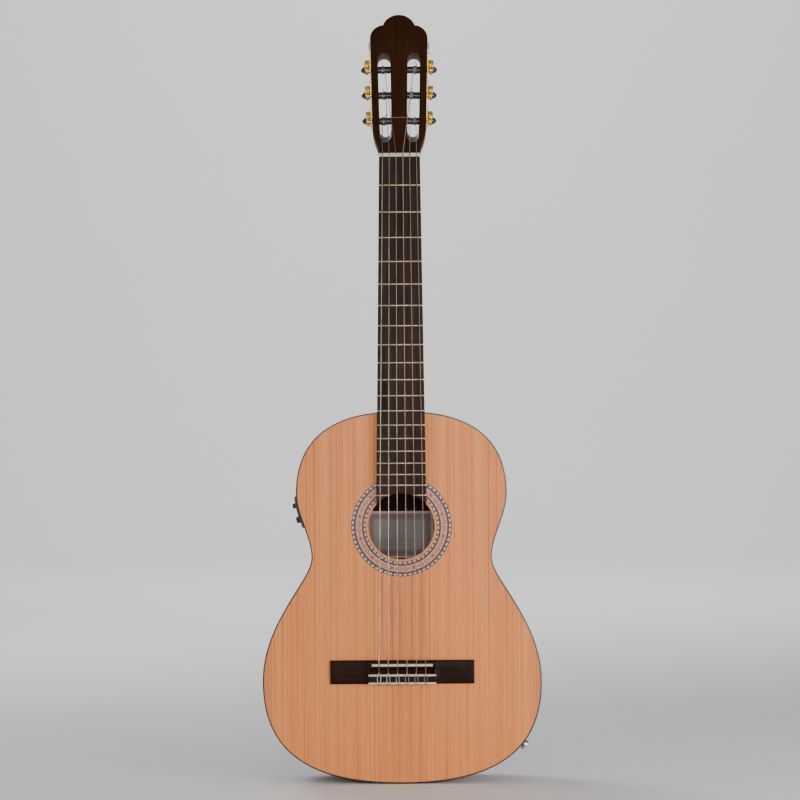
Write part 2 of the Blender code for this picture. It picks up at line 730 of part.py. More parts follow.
def head_outline():
    """Neck curve, straight tapering side, a quarter-round shoulder and the round crown."""
    start = Vector((NUT_WIDTH / 2, 0.0))
    waist = Vector((WAIST_HALF_WIDTH, WAIST_ALONG))
    half = [Vector(p[:2]) for p in interpolate_bezier(start, (0.0275, 0.010), (0.0332, 0.016), waist, 9)]
    shoulder_x = SHOULDER_HALF_WIDTH - SHOULDER_RADIUS
    for step in range(9):
        angle = math.radians(86) * step / 8
        across = shoulder_x + SHOULDER_RADIUS * math.cos(angle)
        half.append(Vector((across, SHOULDER_ALONG + SHOULDER_RADIUS * math.sin(angle))))
    first = math.asin((0.1747 - (HEAD_LENGTH - CROWN_RADIUS)) / CROWN_RADIUS)
    for step in range(9):
        angle = first + (math.pi / 2 - first) * step / 8
        along = HEAD_LENGTH - CROWN_RADIUS + CROWN_RADIUS * math.sin(angle)
        half.append(Vector((CROWN_RADIUS * math.cos(angle), along)))
    half = [(p.x, p.y) for p in half]
    return half + [(-x, z) for x, z in reversed(half) if x > 1e-6]


def slot_loop(side):
    """A string slot in plan: it widens slightly towards the tip, with round ends."""
    inner_low, outer_low, inner_high, outer_high = 0.0100, 0.0252, 0.0111, 0.0273
    loop = []
    for middle, radius, along, start in (
        ((inner_high + outer_high) / 2, (outer_high - inner_high) / 2, SLOT_END, 0.0),
        ((inner_low + outer_low) / 2, (outer_low - inner_low) / 2, SLOT_THROUGH, math.pi),
    ):
        centre = along - radius if start == 0.0 else along + radius
        for step in range(7):
            angle = start + math.pi * step / 6
            loop.append((side * (middle + radius * math.cos(angle)), centre + radius * math.sin(angle)))
    return loop


def cut_slots(piece, front, back):
    ramp_depth = VENEER_THICKNESS + GAP + HEAD_CORE_THICKNESS + 1.5 * MM
    direction = Vector((0.0, ramp_depth, SLOT_THROUGH - RAMP_START)).normalized()
    upward = Vector((0.0, -direction.z, direction.y))
    radius = 0.0076
    for side in (-1, 1):
        loop = slot_loop(side)
        cut(piece, flat_piece("slot_cutter", [loop], front - MM, back + MM, MAHOGANY, head))
        for lift in (radius, radius + 0.006):
            foot = Vector((side * 0.0176, 0.0, RAMP_START)) + upward * lift
            start = foot - direction * 0.012
            end = foot + direction * 0.030
            cut(piece, rod("ramp_cutter", start, end, radius, MAHOGANY, head, sides=18))


def make_headstock():
    front = VENEER_THICKNESS + GAP
    back = front + HEAD_CORE_THICKNESS
    veneer = flat_piece("head_veneer", [head_outline()], 0.0, VENEER_THICKNESS, ROSEWOOD, head)
    cut_slots(veneer, 0.0, VENEER_THICKNESS)
    core = flat_piece("headstock", [head_outline()], front, back, MAHOGANY, head)
    cut_slots(core, front, back)
    for side in (-1, 1):
        for row in (-1, 0, 1):
            inner = machine_point(side, -0.0321, 0.0, row * ROLLER_PITCH)
            outer = machine_point(side, 0.004, 0.0, row * ROLLER_PITCH)
            radius = ROLLER_RADIUS + 1.5 * GAP
            cut(core, rod("roller_hole_cutter", inner, outer, radius, MAHOGANY, head, sides=12))


def machine_point(side, out, back, along):
    """Head coordinates of a point in a machine head: out of the head's side, back, and along it."""
    place = machine_place(side)
    return place @ Vector((side * out, back, along))


def machine_place(side):
    centre = Vector((side * head_half_width(MIDDLE_ROLLER_ALONG), ROLLER_DEPTH, MIDDLE_ROLLER_ALONG))
    return Matrix.Translation(centre) @ Matrix.Rotation(side * SIDE_SLOPE, 4, "Y")


# ---------------------------------------------------------------- machine heads
SHAFT_RADIUS = 0.0016
BEARING_RADIUS = 0.0034
LUG_FACE = 0.0052               # where the worm's thread ends and the lugs start
LUG_LENGTH = 0.0028
LUG_HALF_WIDTH = 0.0029
LUG_REACH = 0.0084              # how far the lugs stand outside the head's side
PLATE_FOOT = -0.0440
PLATE_TIP = 0.0740
BUTTON_START = 0.0138
BUTTON_LENGTH = 0.0135


def make_machine_plate(name, side, frame):
    """A side plate with bearing holes for three rollers and a pair of lugs for each worm."""
    half = 0.0085
    tip_radius = 0.0060
    loop = [(PLATE_FOOT, -half + 0.002), (PLATE_FOOT + 0.002, -half)]
    loop += [(PLATE_TIP - 0.012, -half), (PLATE_TIP - 0.008, -half + 0.003)]
    for step in range(7):
        angle = -math.pi / 2 + math.pi * step / 6
        along = PLATE_TIP - tip_radius + tip_radius * math.cos(angle)
        loop.append((along, tip_radius * math.sin(angle) * 0.8))
    loop += [(PLATE_TIP - 0.008, half - 0.003), (PLATE_TIP - 0.012, half)]
    loop += [(PLATE_FOOT + 0.002, half), (PLATE_FOOT, half - 0.002)]
    ends = sorted((side * GAP, side * (GAP + SIDE_PLATE_THICKNESS)))
    plate = flat_piece(name, [loop], ends[0], ends[1], GOLD_BRASS, frame, axis="X")
    for row in (-1, 0, 1):
        along = row * ROLLER_PITCH
        start = (-side * MM, 0, along)
        end = (side * 3 * MM, 0, along)
        cut(plate, rod("bearing_cutter", start, end, BEARING_RADIUS, CHROME, frame, 12))
        middle = along + WORM_OFFSET
        for start in (-LUG_FACE - LUG_LENGTH, LUG_FACE):
            xs = sorted((side * (GAP + 0.0006), side * LUG_REACH))
            low = (xs[0], start, middle - LUG_HALF_WIDTH)
            high = (xs[1], start + LUG_LENGTH, middle + LUG_HALF_WIDTH)
            lug = box("lug", low, high, GOLD_BRASS, frame)
            x = side * GEAR_OUT
            bore_start = (x, start - MM, middle)
            bore_end = (x, start + LUG_LENGTH + MM, middle)
            join(plate, lug)
            bore_radius = SHAFT_RADIUS + 1.5 * GAP
            cut(plate, rod("lug_bore_cutter", bore_start, bore_end, bore_radius, CHROME, frame, 8))


def make_roller(number, side, axis_frame):
    """Barrel across the slot, journal through the plate and a peg that carries the gear."""
    out = GEAR_OUT - GEAR_WIDTH / 2
    profile = [
        (0.0, out + GEAR_WIDTH),
        (0.0018, out + GEAR_WIDTH),
        (0.0018, out - 0.0004),
        (0.0029, out - 0.0004),
        (0.0029, -0.0004),
        (ROLLER_RADIUS, -0.0004),
        (ROLLER_RADIUS, -0.0312),
        (0.0, -0.0312),
    ]
    place = Matrix.Rotation(side * math.pi / 2, 4, "Y")
    turned(f"tuner_roller_{number}", profile, ROLLER_PLASTIC, axis_frame, place, steps=12)


def make_gear(number, side, axis_frame):
    """Helical gear: both faces are turned to follow the worm's thread."""
    root, tip = 0.0047, 0.0061
    bore = 0.0022
    twist = math.atan2(WORM_LEAD, math.tau * 0.0026) * (GEAR_WIDTH / 2) / 0.0057
    bore_count = 8
    body = bmesh.new()
    layers = []
    for end in (-1, 1):
        out = GEAR_OUT + end * GEAR_WIDTH / 2
        turn = -end * twist
        ring = []
        for tooth in range(GEAR_TEETH):
            middle = math.tau * (tooth + 0.5) / GEAR_TEETH
            for offset, radius in ((-0.145, root), (-0.060, tip), (0.060, tip), (0.145, root)):
                angle = middle + offset + turn
                ring.append(gear_vertex(body, side * out, radius, angle))
        inner = []
        for step in range(bore_count):
            angle = math.tau * step / bore_count
            inner.append(gear_vertex(body, side * out, bore, angle))
        layers.append((ring, inner))
    for ring_pair in ((layers[0][0], layers[1][0]), (layers[0][1], layers[1][1])):
        first, second = ring_pair
        for index in range(len(first)):
            following = (index + 1) % len(first)
            body.faces.new((first[index], first[following], second[following], second[index]))
    for ring, inner in layers:
        edges = loop_edges(body, ring) + loop_edges(body, inner)
        bmesh.ops.triangle_fill(body, edges=edges, use_beauty=True)
    mesh_object(f"tuner_gear_{number}", body, GOLD_BRASS, axis_frame)


def gear_vertex(body, x, radius, angle):
    return body.verts.new((x, -radius * math.sin(angle), radius * math.cos(angle)))


def loop_edges(body, ring):
    return [body.edges.get((ring[i], ring[(i + 1) % len(ring)])) for i in range(len(ring))]


def make_worm(number, side, axis_frame):
    """A single-start worm on its shaft. Each column of the thread is stepped along by its share of
    the lead, so the crest runs as a helix."""
    columns = 8
    reach = 0.0040
    root, crest = 0.0019, 0.0032
    pattern = ((-0.27, root), (-0.09, crest), (0.09, crest), (0.27, root))
    body = bmesh.new()
    grid = []
    for column in range(columns):
        angle = math.tau * column / columns
        # the azimuth that faces the gear carries the crest at the middle of the worm
        phase = column / columns + 0.25
        points = [(-LUG_FACE - LUG_LENGTH - 0.0004, 0.0), (-LUG_FACE - LUG_LENGTH - 0.0004, SHAFT_RADIUS)]
        points += [(-LUG_FACE + 0.0003, SHAFT_RADIUS), (-LUG_FACE + 0.0003, root), (-reach, root)]
        for turn in range(-3, 3):
            for offset, radius in pattern:
                height = WORM_LEAD * (turn + offset + phase)
                clamped = max(-reach, min(reach, height))
                points.append((clamped, radius if clamped == height else root))
        points += [(reach, root), (LUG_FACE - 0.0003, root), (LUG_FACE - 0.0003, SHAFT_RADIUS)]
        points += [(BUTTON_START + 0.0060, SHAFT_RADIUS), (BUTTON_START + 0.0060, 0.0)]
        grid.append(
            [
                body.verts.new((side * radius * math.cos(angle), height, radius * math.sin(angle)))
                for height, radius in points
            ]
        )
    stretch = range(5, 5 + 24)
    rows = len(grid[0])
    for column in range(columns):
        wrapping = column == columns - 1
        following = grid[(column + 1) % columns]
        shift = 4 if wrapping else 0
        for row in range(rows - 1):
            in_thread = row in stretch or row + 1 in stretch
            a, b = grid[column][row], grid[column][row + 1]
            if wrapping and in_thread:
                low = thread_partner(row, shift, stretch)
                high = thread_partner(row + 1, shift, stretch)
            else:
                low, high = row, row + 1
            if high - low > 1:
                ring = [a, *following[low:high + 1], b]
            else:
                ring = [a, following[low], following[high], b]
            distinct = list(dict.fromkeys(ring))
            if len(distinct) > 2:
                body.faces.new(distinct)
    bmesh.ops.remove_doubles(body, verts=body.verts, dist=1e-7)
    mesh_object(f"tuner_worm_{number}", body, GOLD_BRASS, axis_frame)


def thread_partner(row, shift, stretch):
    """Row of the first column that continues a row of the last one, one turn further on."""
    if row < stretch.start or row >= stretch.stop:
        return row
    return min(row + shift, stretch.stop)


def make_button(number, axis_frame):
    """An oval button with a collar, bored for the worm's shaft."""
    body = bmesh.new()
    bmesh.ops.create_uvsphere(body, u_segments=12, v_segments=6, radius=1.0)
    size = (0.0080, BUTTON_LENGTH / 2, 0.0050)
    bmesh.ops.scale(body, vec=size, verts=body.verts)
    middle = BUTTON_START + BUTTON_LENGTH / 2
    bmesh.ops.translate(body, vec=(0.0, middle, 0.0), verts=body.verts)
    button = mesh_object(f"tuner_button_{number}", body, BLACK_PLASTIC, axis_frame, smooth=True)
    collar_start = (0.0, BUTTON_START - 0.0030, 0.0)
    collar_end = (0.0, middle - MM, 0.0)
    join(button, rod("collar", collar_start, collar_end, 0.0030, BLACK_PLASTIC, axis_frame, 10))
    bore_start = (0.0, BUTTON_START - 0.0040, 0.0)
    bore_end = (0.0, BUTTON_START + 0.0060 + GAP, 0.0)
    bore_radius = SHAFT_RADIUS + 1.5 * GAP
    cut(button, rod("button_bore_cutter", bore_start, bore_end, bore_radius, CHROME, axis_frame, 8))


machine_frames = {}


def make_machine_heads():
    for side, name in ((-1, "tuner_plate_bass"), (1, "tuner_plate_treble")):
        place = machine_place(side)
        frame = empty(f"machine_frame_{'bass' if side < 0 else 'treble'}", parent=head)
        frame.matrix_local = place
        bpy.context.view_layer.update()
        machine_frames[side] = frame
        make_machine_plate(name, side, frame)
    for number in range(1, 7):
        side = 1 if number <= 3 else -1
        frame = machine_frames[side]
        along = machine_row(number) * ROLLER_PITCH
        roller_axis = empty(f"roller_axis_{number}", (0.0, 0.0, along), parent=frame)
        key_axis = empty(f"key_axis_{number}", (side * GEAR_OUT, 0.0, along + WORM_OFFSET), parent=frame)
        make_roller(number, side, roller_axis)
        make_gear(number, side, roller_axis)
        make_worm(number, side, key_axis)
        make_button(number, key_axis)


def machine_row(number):
    """Rollers from the nut to the tip: 1, 2, 3 on the treble side and 6, 5, 4 on the bass side."""
    return number - 2 if number <= 3 else 5 - number


# ---------------------------------------------------------------- strings
WINDING_PLACES = (0.0215, 0.0140, 0.0190, -0.0190, -0.0173, -0.0220)
WINDING_TURNS = 1.5
POINTS_PER_TURN = 14


def winding_points(number, nut_point):
    """The string's turns round its roller, from the free end to where it leaves for the nut."""
    side = 1 if number <= 3 else -1
    diameter = STRING_DIAMETERS[number - 1]
    frame = machine_frames[side].matrix_world @ Matrix.Translation((0, 0, machine_row(number) * ROLLER_PITCH))
    local_nut = frame.inverted() @ nut_point
    radius = ROLLER_RADIUS + GAP + diameter / 2 + 0.0001
    distance = math.hypot(local_nut.y, local_nut.z)
    towards_nut = math.atan2(local_nut.y, local_nut.z)
    first = towards_nut + math.acos(radius / distance)
    if radius * math.sin(first) > 0:
        first = towards_nut - math.acos(radius / distance)
    along = MIDDLE_ROLLER_ALONG + machine_row(number) * ROLLER_PITCH
    start_x = WINDING_PLACES[number - 1] - side * head_half_width(along)
    pitch = diameter + 0.0003
    points = []
    count = round(WINDING_TURNS * POINTS_PER_TURN)
    for step in range(count + 1):
        turn = step / POINTS_PER_TURN
        angle = first + math.tau * turn
        local = Vector((start_x + side * pitch * turn, radius * math.sin(angle), radius * math.cos(angle)))
        points.append(frame @ local)
    return points[::-1]


def string_points(number):
    diameter = STRING_DIAMETERS[number - 1]
    radius = diameter / 2
    nut_x = string_offset(number, SPREAD_AT_NUT)
    saddle_x = string_offset(number, SPREAD_AT_SADDLE)
    nut_y = -STRING_RISE_AT_NUT - radius
    saddle_y = -STRING_RISE_AT_SADDLE - radius
    nut_back = Vector((nut_x, nut_y, NUT_THICKNESS - 2.0 * MM))
    points = winding_points(number, nut_back)
    points.append(nut_back)
    points.append(Vector((nut_x, nut_y, 0.0)))
    points.append(Vector((saddle_x, saddle_y, -SCALE_LENGTH + SADDLE_THICKNESS / 2 - 0.0004)))
    points.append(Vector((saddle_x, saddle_y + 0.0001, -SCALE_LENGTH - SADDLE_THICKNESS / 2 + 0.0004)))
    tie_front = BRIDGE_REAR_Z + 0.0126
    over_y = TOP_FRONT_Y - 0.0083 - GAP - radius
    points.append(Vector((saddle_x, TIE_HOLE_Y, tie_front + 0.0010)))
    points.append(Vector((saddle_x, TIE_HOLE_Y, BRIDGE_REAR_Z)))
    rear = BRIDGE_REAR_Z - GAP - 0.0003 - radius
    points.append(Vector((saddle_x + 0.0003, TIE_HOLE_Y - 0.0004, rear)))
    side_step = diameter + 0.0007
    points.append(Vector((saddle_x + side_step / 2, (TIE_HOLE_Y + over_y) / 2, rear)))
    points.append(Vector((saddle_x + side_step, over_y + 0.0004, rear)))
    points.append(Vector((saddle_x + side_step, over_y, rear + 0.0006)))
    points.append(Vector((saddle_x + side_step, over_y, tie_front)))
    points.append(Vector((saddle_x + side_step, over_y + 0.0016, tie_front + 0.0012 + radius)))
    return points


def make_strings():
    for number in range(1, 7):
        curve = bpy.data.curves.new(f"string_{number}", "CURVE")
        curve.dimensions = "3D"
        curve.bevel_depth = STRING_DIAMETERS[number - 1] / 2
        curve.bevel_resolution = 1
        curve.use_fill_caps = True
        points = string_points(number)
        spline = curve.splines.new("POLY")
        spline.points.add(len(points) - 1)
        for target, point in zip(spline.points, points):
            target.co = (*point, 1.0)
        item = bpy.data.objects.new(f"string_{number}", curve)
        finish_object(item, NYLON if number <= 3 else SILVER_WOUND)


# ---------------------------------------------------------------- preamp and jack
PREAMP_TOP_Z = -0.4350
PREAMP_LENGTH = 0.0400
PREAMP_PROUD = 0.0030
PREAMP_FRONT_Y = 0.0250
PREAMP_BACK_Y = 0.0850
# Each knob: name, distance below the panel's top, depth along Y, radius.
KNOBS = (
    ("preamp_knob_volume", 0.0118, 0.045, 0.0034),
    ("preamp_knob_bass", 0.0289, 0.037, 0.0042),
    ("preamp_knob_treble", 0.0289, 0.066, 0.0042),
)
BUTTON_ALONG = 0.0118
BUTTON_Y = 0.066


def side_point(z, outward, side=-1):
    """A point beside the body at height z, outward from the outline, and the outline's normal."""
    outline = half_outline(0.0)
    for (x0, z0), (x1, z1) in zip(outline, outline[1:]):
        if z0 <= z < z1:
            share = (z - z0) / (z1 - z0)
            along = Vector((x1 - x0, z1 - z0)).normalized()
            normal = Vector((along.y, -along.x))
            x = x0 + (x1 - x0) * share + normal.x * outward
            place = Vector((side * x, 0.0, z + normal.y * outward))
            return place, Vector((side * normal.x, 0.0, normal.y))
    raise ValueError("no side at this height")


def side_strip(near, far, low_z, high_z):
    """An outline between two offsets outside the bass side, from low_z to high_z."""
    count = 6
    heights = [low_z + (high_z - low_z) * step / count for step in range(count + 1)]
    inner = [side_point(z, near)[0] for z in heights]
    outer = [side_point(z, far)[0] for z in heights]
    return [(p.x, p.z) for p in inner + outer[::-1]]


def make_preamp():
    low_z = PREAMP_TOP_Z - PREAMP_LENGTH
    loop = side_strip(GAP, PREAMP_PROUD, low_z, PREAMP_TOP_Z)
    panel = flat_piece("preamp_panel", [loop], PREAMP_FRONT_Y, PREAMP_BACK_Y, GREY_PLASTIC)
    rim = 0.0040
    housing_loop = side_strip(-0.020, 0.0010, low_z + rim, PREAMP_TOP_Z - rim)
    housing = flat_piece(
        "preamp_housing", [housing_loop], PREAMP_FRONT_Y + rim, PREAMP_BACK_Y - rim, GREY_PLASTIC
    )
    join(panel, housing)
    for name, along, y, radius in KNOBS:
        base, normal = side_point(PREAMP_TOP_Z - along, PREAMP_PROUD)
        base.y = y
        bore_start = base - normal * 6 * MM
        bore_end = base + normal * MM
        cut(panel, rod("knob_bore_cutter", bore_start, bore_end, 0.0018, CHROME, sides=10))
        turn = normal.to_track_quat("Z", "Y").to_matrix().to_4x4()
        axis = empty(f"{name}_axis")
        axis.matrix_world = Matrix.Translation(base) @ turn
        bpy.context.view_layer.update()
        profile = [
            (0.0, 0.0047),
            (radius * 0.62, 0.0047),
            (radius * 0.86, 0.0042),
            (radius, 0.0012),
            (radius, GAP),
            (0.0014, GAP),
            (0.0014, -0.0050),
            (0.0, -0.0050),
        ]
        turned(name, profile, BLACK_PLASTIC, axis, steps=18)
    base, normal = side_point(PREAMP_TOP_Z - BUTTON_ALONG, PREAMP_PROUD)
    base.y = BUTTON_Y
    cut(panel, rod("button_well_cutter", base - normal * 0.006, base + normal * MM, 0.0026, CHROME, sides=12))
    place = Matrix.Translation(base) @ normal.to_track_quat("Z", "Y").to_matrix().to_4x4()
    cap = [(0.0, 0.0016), (0.0016, 0.0016), (0.0021, 0.0011), (0.0021, -0.0030), (0.0, -0.0030)]
    axis = empty("preamp_push_button_axis")
    axis.matrix_world = place
    turned("preamp_push_button", cap, BLACK_PLASTIC, axis, steps=12)
    return side_strip(-0.012, 0.004, low_z + rim - GAP, PREAMP_TOP_Z - rim + GAP)


JACK_Z = -0.7544
JACK_Y = 0.055


def make_jack():
    """An end-pin jack: flange, waist and head outside, threaded barrel inside, and a socket."""
    base, normal = side_point(JACK_Z, 0.0, side=1)
    base.y = JACK_Y
    socket, barrel = 0.0033, 0.0058
    profile = [
        (0.0, -0.018),
        (socket, -0.018),
        (socket, 0.0105),
        (0.0060, 0.0105),
        (0.0068, 0.0097),
        (0.0068, 0.0072),
        (0.0048, 0.0060),
        (0.0048, 0.0032),
        (0.0085, 0.0018),
        (0.0085, GAP),
        (barrel, GAP),
        (barrel, -0.021),
        (0.0, -0.021),
    ]
    axis = empty("jack_axis")
    axis.matrix_world = Matrix.Translation(base) @ normal.to_track_quat("Z", "Y").to_matrix().to_4x4()
    bpy.context.view_layer.update()
    turned("output_jack", profile, CHROME, axis, steps=20)
    return base - normal * 0.012, base + normal * 0.012, barrel + GAP


def make_sides():
    """Both sides, with the preamp's opening in one and the jack's hole in the other."""
    bass = make_side("side_bass", -1)
    treble = make_side("side_treble", 1)
    opening = make_preamp()
    rim = 0.0040 - GAP
    opening_front = PREAMP_FRONT_Y + rim
    opening_back = PREAMP_BACK_Y - rim
    cut(bass, flat_piece("preamp_opening_cutter", [opening], opening_front, opening_back, MAHOGANY))
    inner, outer, radius = make_jack()
    cut(treble, rod("jack_hole_cutter", inner, outer, radius, MAHOGANY, sides=20))


make_soundboard()
make_back()
make_bindings()
make_sides()
make_linings()
make_tail_block()
make_soundboard_bracing()
make_back_bracing()
make_neck()
make_heel_cap()
make_fingerboard()
make_nut()
make_bridge()
make_saddle()
make_headstock()
make_machine_heads()
make_strings()
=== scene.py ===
"""Looks of the classical guitar: fine meshes, materials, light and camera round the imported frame."""

import math

import bmesh
import bpy
from mathutils import Matrix, Vector
from mathutils.geometry import interpolate_bezier


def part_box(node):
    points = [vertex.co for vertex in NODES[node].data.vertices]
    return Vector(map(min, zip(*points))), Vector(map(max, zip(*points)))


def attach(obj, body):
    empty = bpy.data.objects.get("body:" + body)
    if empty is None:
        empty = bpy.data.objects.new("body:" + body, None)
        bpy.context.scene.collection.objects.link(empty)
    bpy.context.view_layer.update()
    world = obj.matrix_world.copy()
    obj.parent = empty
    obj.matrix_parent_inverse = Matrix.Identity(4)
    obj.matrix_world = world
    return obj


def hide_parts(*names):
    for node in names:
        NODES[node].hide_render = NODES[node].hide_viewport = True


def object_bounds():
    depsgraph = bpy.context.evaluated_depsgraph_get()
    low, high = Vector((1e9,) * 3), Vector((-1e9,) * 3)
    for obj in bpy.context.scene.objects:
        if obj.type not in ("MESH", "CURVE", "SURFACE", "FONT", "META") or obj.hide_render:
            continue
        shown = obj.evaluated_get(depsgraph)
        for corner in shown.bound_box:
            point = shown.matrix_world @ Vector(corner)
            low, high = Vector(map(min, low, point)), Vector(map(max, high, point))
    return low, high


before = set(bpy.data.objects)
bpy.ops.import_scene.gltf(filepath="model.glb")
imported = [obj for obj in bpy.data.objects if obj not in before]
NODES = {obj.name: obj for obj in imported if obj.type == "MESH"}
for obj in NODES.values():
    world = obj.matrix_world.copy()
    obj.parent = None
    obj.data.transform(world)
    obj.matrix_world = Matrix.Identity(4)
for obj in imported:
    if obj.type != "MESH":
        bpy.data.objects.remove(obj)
CAD_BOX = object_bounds()
ROOT = "guitar"
MM = 0.001

# ---------------------------------------------------------------- sizes shared with the CAD
SCALE_LENGTH = 0.650
GAP = 0.0003
NUT_WIDTH = 0.0525
NUT_THICKNESS = 0.0055
BOARD_THICKNESS = 0.0055
BOARD_END_WIDTH = 0.0640
FRET_COUNT = 19
BODY_LENGTH = 0.4766
BODY_TOP_Z = -0.3260
BUTT_Z = BODY_TOP_Z - BODY_LENGTH
DEPTH_AT_HEEL = 0.094
DEPTH_AT_BUTT = 0.100
TOP_FRONT_Y = BOARD_THICKNESS + GAP
PLATE_THICKNESS = 0.0025
SIDE_THICKNESS = 0.0022
BINDING_WIDTH = 0.0017
BINDING_DEPTH = 0.0050
CENTRE_LINE_HALF_WIDTH = 0.0011
SOUNDHOLE_RADIUS = 0.0425
SOUNDHOLE_Z = -0.4730
BOARD_FULL_WIDTH_Z = SOUNDHOLE_Z + 0.028
BOARD_END_Z = SOUNDHOLE_Z + 0.010
BRIDGE_FRONT_Z = -0.6442
BRIDGE_REAR_Z = -0.6746
BRIDGE_WIDTH = 0.1845
TIE_BLOCK_WIDTH = 0.0865
TIE_FRONT_Z = BRIDGE_REAR_Z + 0.0126
TIE_HOLE_Y = 0.0015
SADDLE_WIDTH = 0.0780
SADDLE_THICKNESS = 0.0030
SADDLE_TOP_Y = -0.0063
STRING_DIAMETERS = (0.00072, 0.00083, 0.00103, 0.00076, 0.00091, 0.00112)
SPREAD_AT_NUT = 0.0435
SPREAD_AT_SADDLE = 0.0597
STRING_RISE_AT_NUT = 0.0015
STRING_RISE_AT_SADDLE = 0.0065
HEAD_TILT = math.radians(14.0)
HEAD_LENGTH = 0.1878
HEAD_FACE_Y = 0.0035            # of the face where it meets the nut
VENEER_THICKNESS = 0.0017
HEAD_CORE_THICKNESS = 0.0195
ROLLER_PITCH = 0.035
MIDDLE_ROLLER_ALONG = 0.0803
ROLLER_DEPTH = 0.0105
ROLLER_RADIUS = 0.0049
GEAR_OUT = 0.0052
GEAR_WIDTH = 0.0032
GEAR_TEETH = 14
WORM_LEAD = 0.00255
WORM_OFFSET = 0.0083
SHOULDER_ALONG = 0.1552
SHOULDER_HALF_WIDTH = 0.0373
SHOULDER_RADIUS = 0.0185
CROWN_RADIUS = 0.0221
CROWN_START = 0.1747
WAIST_ALONG = 0.0352
WAIST_HALF_WIDTH = 0.0346
SIDE_SLOPE = math.atan2(SHOULDER_HALF_WIDTH - WAIST_HALF_WIDTH, SHOULDER_ALONG - WAIST_ALONG)
HEAD_FRAME = (
    Matrix.Translation((0.0, HEAD_FACE_Y, NUT_THICKNESS + GAP)) @ Matrix.Rotation(-HEAD_TILT, 4, "X")
)

OUTLINE_KNOTS = (
    ((0.0, 0.0), (0.0, 0.0), (0.1130, 0.0)),
    ((0.1789, 0.1310), (0.0, -0.0950), (0.0, 0.0770)),
    ((0.1156, 0.2895), (0.0, -0.0290), (0.0, 0.0270)),
    ((0.1352, 0.3715), (0.0, -0.0275), (0.0, 0.1050)),
    ((0.0, BODY_LENGTH), (0.0340, 0.0), (0.0, 0.0)),
)
OUTLINE_STEPS = 40


# ---------------------------------------------------------------- mesh helpers
def with_materials(item, materials):
    """Adds materials to an object that has none, and keeps which of them each face is on."""
    for material in materials:
        item.data.materials.append(material)
    return item


def painted(item, *materials):
    """Gives an object these materials in place of any it has, with every face on the first."""
    item.data.materials.clear()
    return with_materials(item, materials)


def place_piece(item, body, *, nodes=(), material=None):
    """Gives a piece its material and its body, and hides the CAD parts that it stands for."""
    if material is not None:
        painted(item, material)
    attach(item, body)
    if nodes:
        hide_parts(*nodes)
    return item


def new_object(name, mesh):
    item = bpy.data.objects.new(name, mesh)
    bpy.context.scene.collection.objects.link(item)
    return item


def object_from_bmesh(name, body, smooth_angle=None, normals=True):
    if normals:
        bmesh.ops.recalc_face_normals(body, faces=body.faces)
    mesh = bpy.data.meshes.new(name)
    body.to_mesh(mesh)
    body.free()
    item = new_object(name, mesh)
    if smooth_angle is not None:
        soften(item, smooth_angle)
    return item


def soften(item, angle=35):
    item.data.shade_smooth()
    item.data.set_sharp_from_angle(angle=math.radians(angle))
    return item


def applied(item):
    """Applies an object's modifiers, so that its mesh is final."""
    bpy.context.view_layer.update()
    evaluated = item.evaluated_get(bpy.context.evaluated_depsgraph_get())
    mesh = bpy.data.meshes.new_from_object(evaluated)
    name = item.name
    place = item.matrix_world.copy()
    bpy.data.objects.remove(item, do_unlink=True)
    solid = new_object(name, mesh)
    solid.name = name
    solid.matrix_world = place
    return solid


def bevelled(item, width, segments=2, angle=40):
    step = item.modifiers.new("edges", "BEVEL")
    step.width = width
    step.segments = segments
    step.limit_method = "ANGLE"
    step.angle_limit = math.radians(angle)
    return item


def eased(item, width, segments=2, angle=40, smooth_angle=35):
    """Rounds an object's sharp edges for good and shades it smooth."""
    return soften(applied(bevelled(item, width, segments, angle)), smooth_angle)


def boolean(item, other, operation="DIFFERENCE"):
    """Combines two solids for good and removes the second."""
    step = item.modifiers.new("combine", "BOOLEAN")
    step.operation = operation
    step.solver = "EXACT"
    step.object = other
    result = applied(item)
    bpy.data.objects.remove(other, do_unlink=True)
    return result


def prism(name, loops, low, high, axis="Y"):
    """A flat-sided solid on an outline in X-Z that spans low to high along Y; with axis "X" the
    outline is in Z-Y and it spans low to high along X."""
    curve = bpy.data.curves.new(name, "CURVE")
    curve.dimensions = "2D"
    curve.fill_mode = "BOTH"
    curve.extrude = (high - low) / 2
    for loop in loops:
        spline = curve.splines.new("POLY")
        spline.points.add(len(loop) - 1)
        for point, (a, b) in zip(spline.points, loop):
            point.co = (a, b, 0.0, 1.0)
        spline.use_cyclic_u = True
    item = new_object(name, curve)
    middle = (low + high) / 2
    if axis == "Y":
        turn = Matrix(((1, 0, 0), (0, 0, -1), (0, 1, 0)))
        item.matrix_world = Matrix.Translation((0, middle, 0)) @ turn.to_4x4()
    else:
        turn = Matrix(((0, 0, -1), (0, 1, 0), (1, 0, 0)))
        item.matrix_world = Matrix.Translation((middle, 0, 0)) @ turn.to_4x4()
    solid = applied(item)
    body = bmesh.new()
    body.from_mesh(solid.data)
    bmesh.ops.transform(body, matrix=solid.matrix_world, verts=body.verts)
    bmesh.ops.remove_doubles(body, verts=body.verts, dist=1e-7)
    bmesh.ops.recalc_face_normals(body, faces=body.faces)
    body.to_mesh(solid.data)
    body.free()
    solid.matrix_world = Matrix.Identity(4)
    return solid


def block(name, low, high):
    body = bmesh.new()
    bmesh.ops.create_cube(body, size=1.0)
    bmesh.ops.scale(body, vec=Vector(high) - Vector(low), verts=body.verts)
    bmesh.ops.translate(body, vec=(Vector(low) + Vector(high)) / 2, verts=body.verts)
    return object_from_bmesh(name, body)


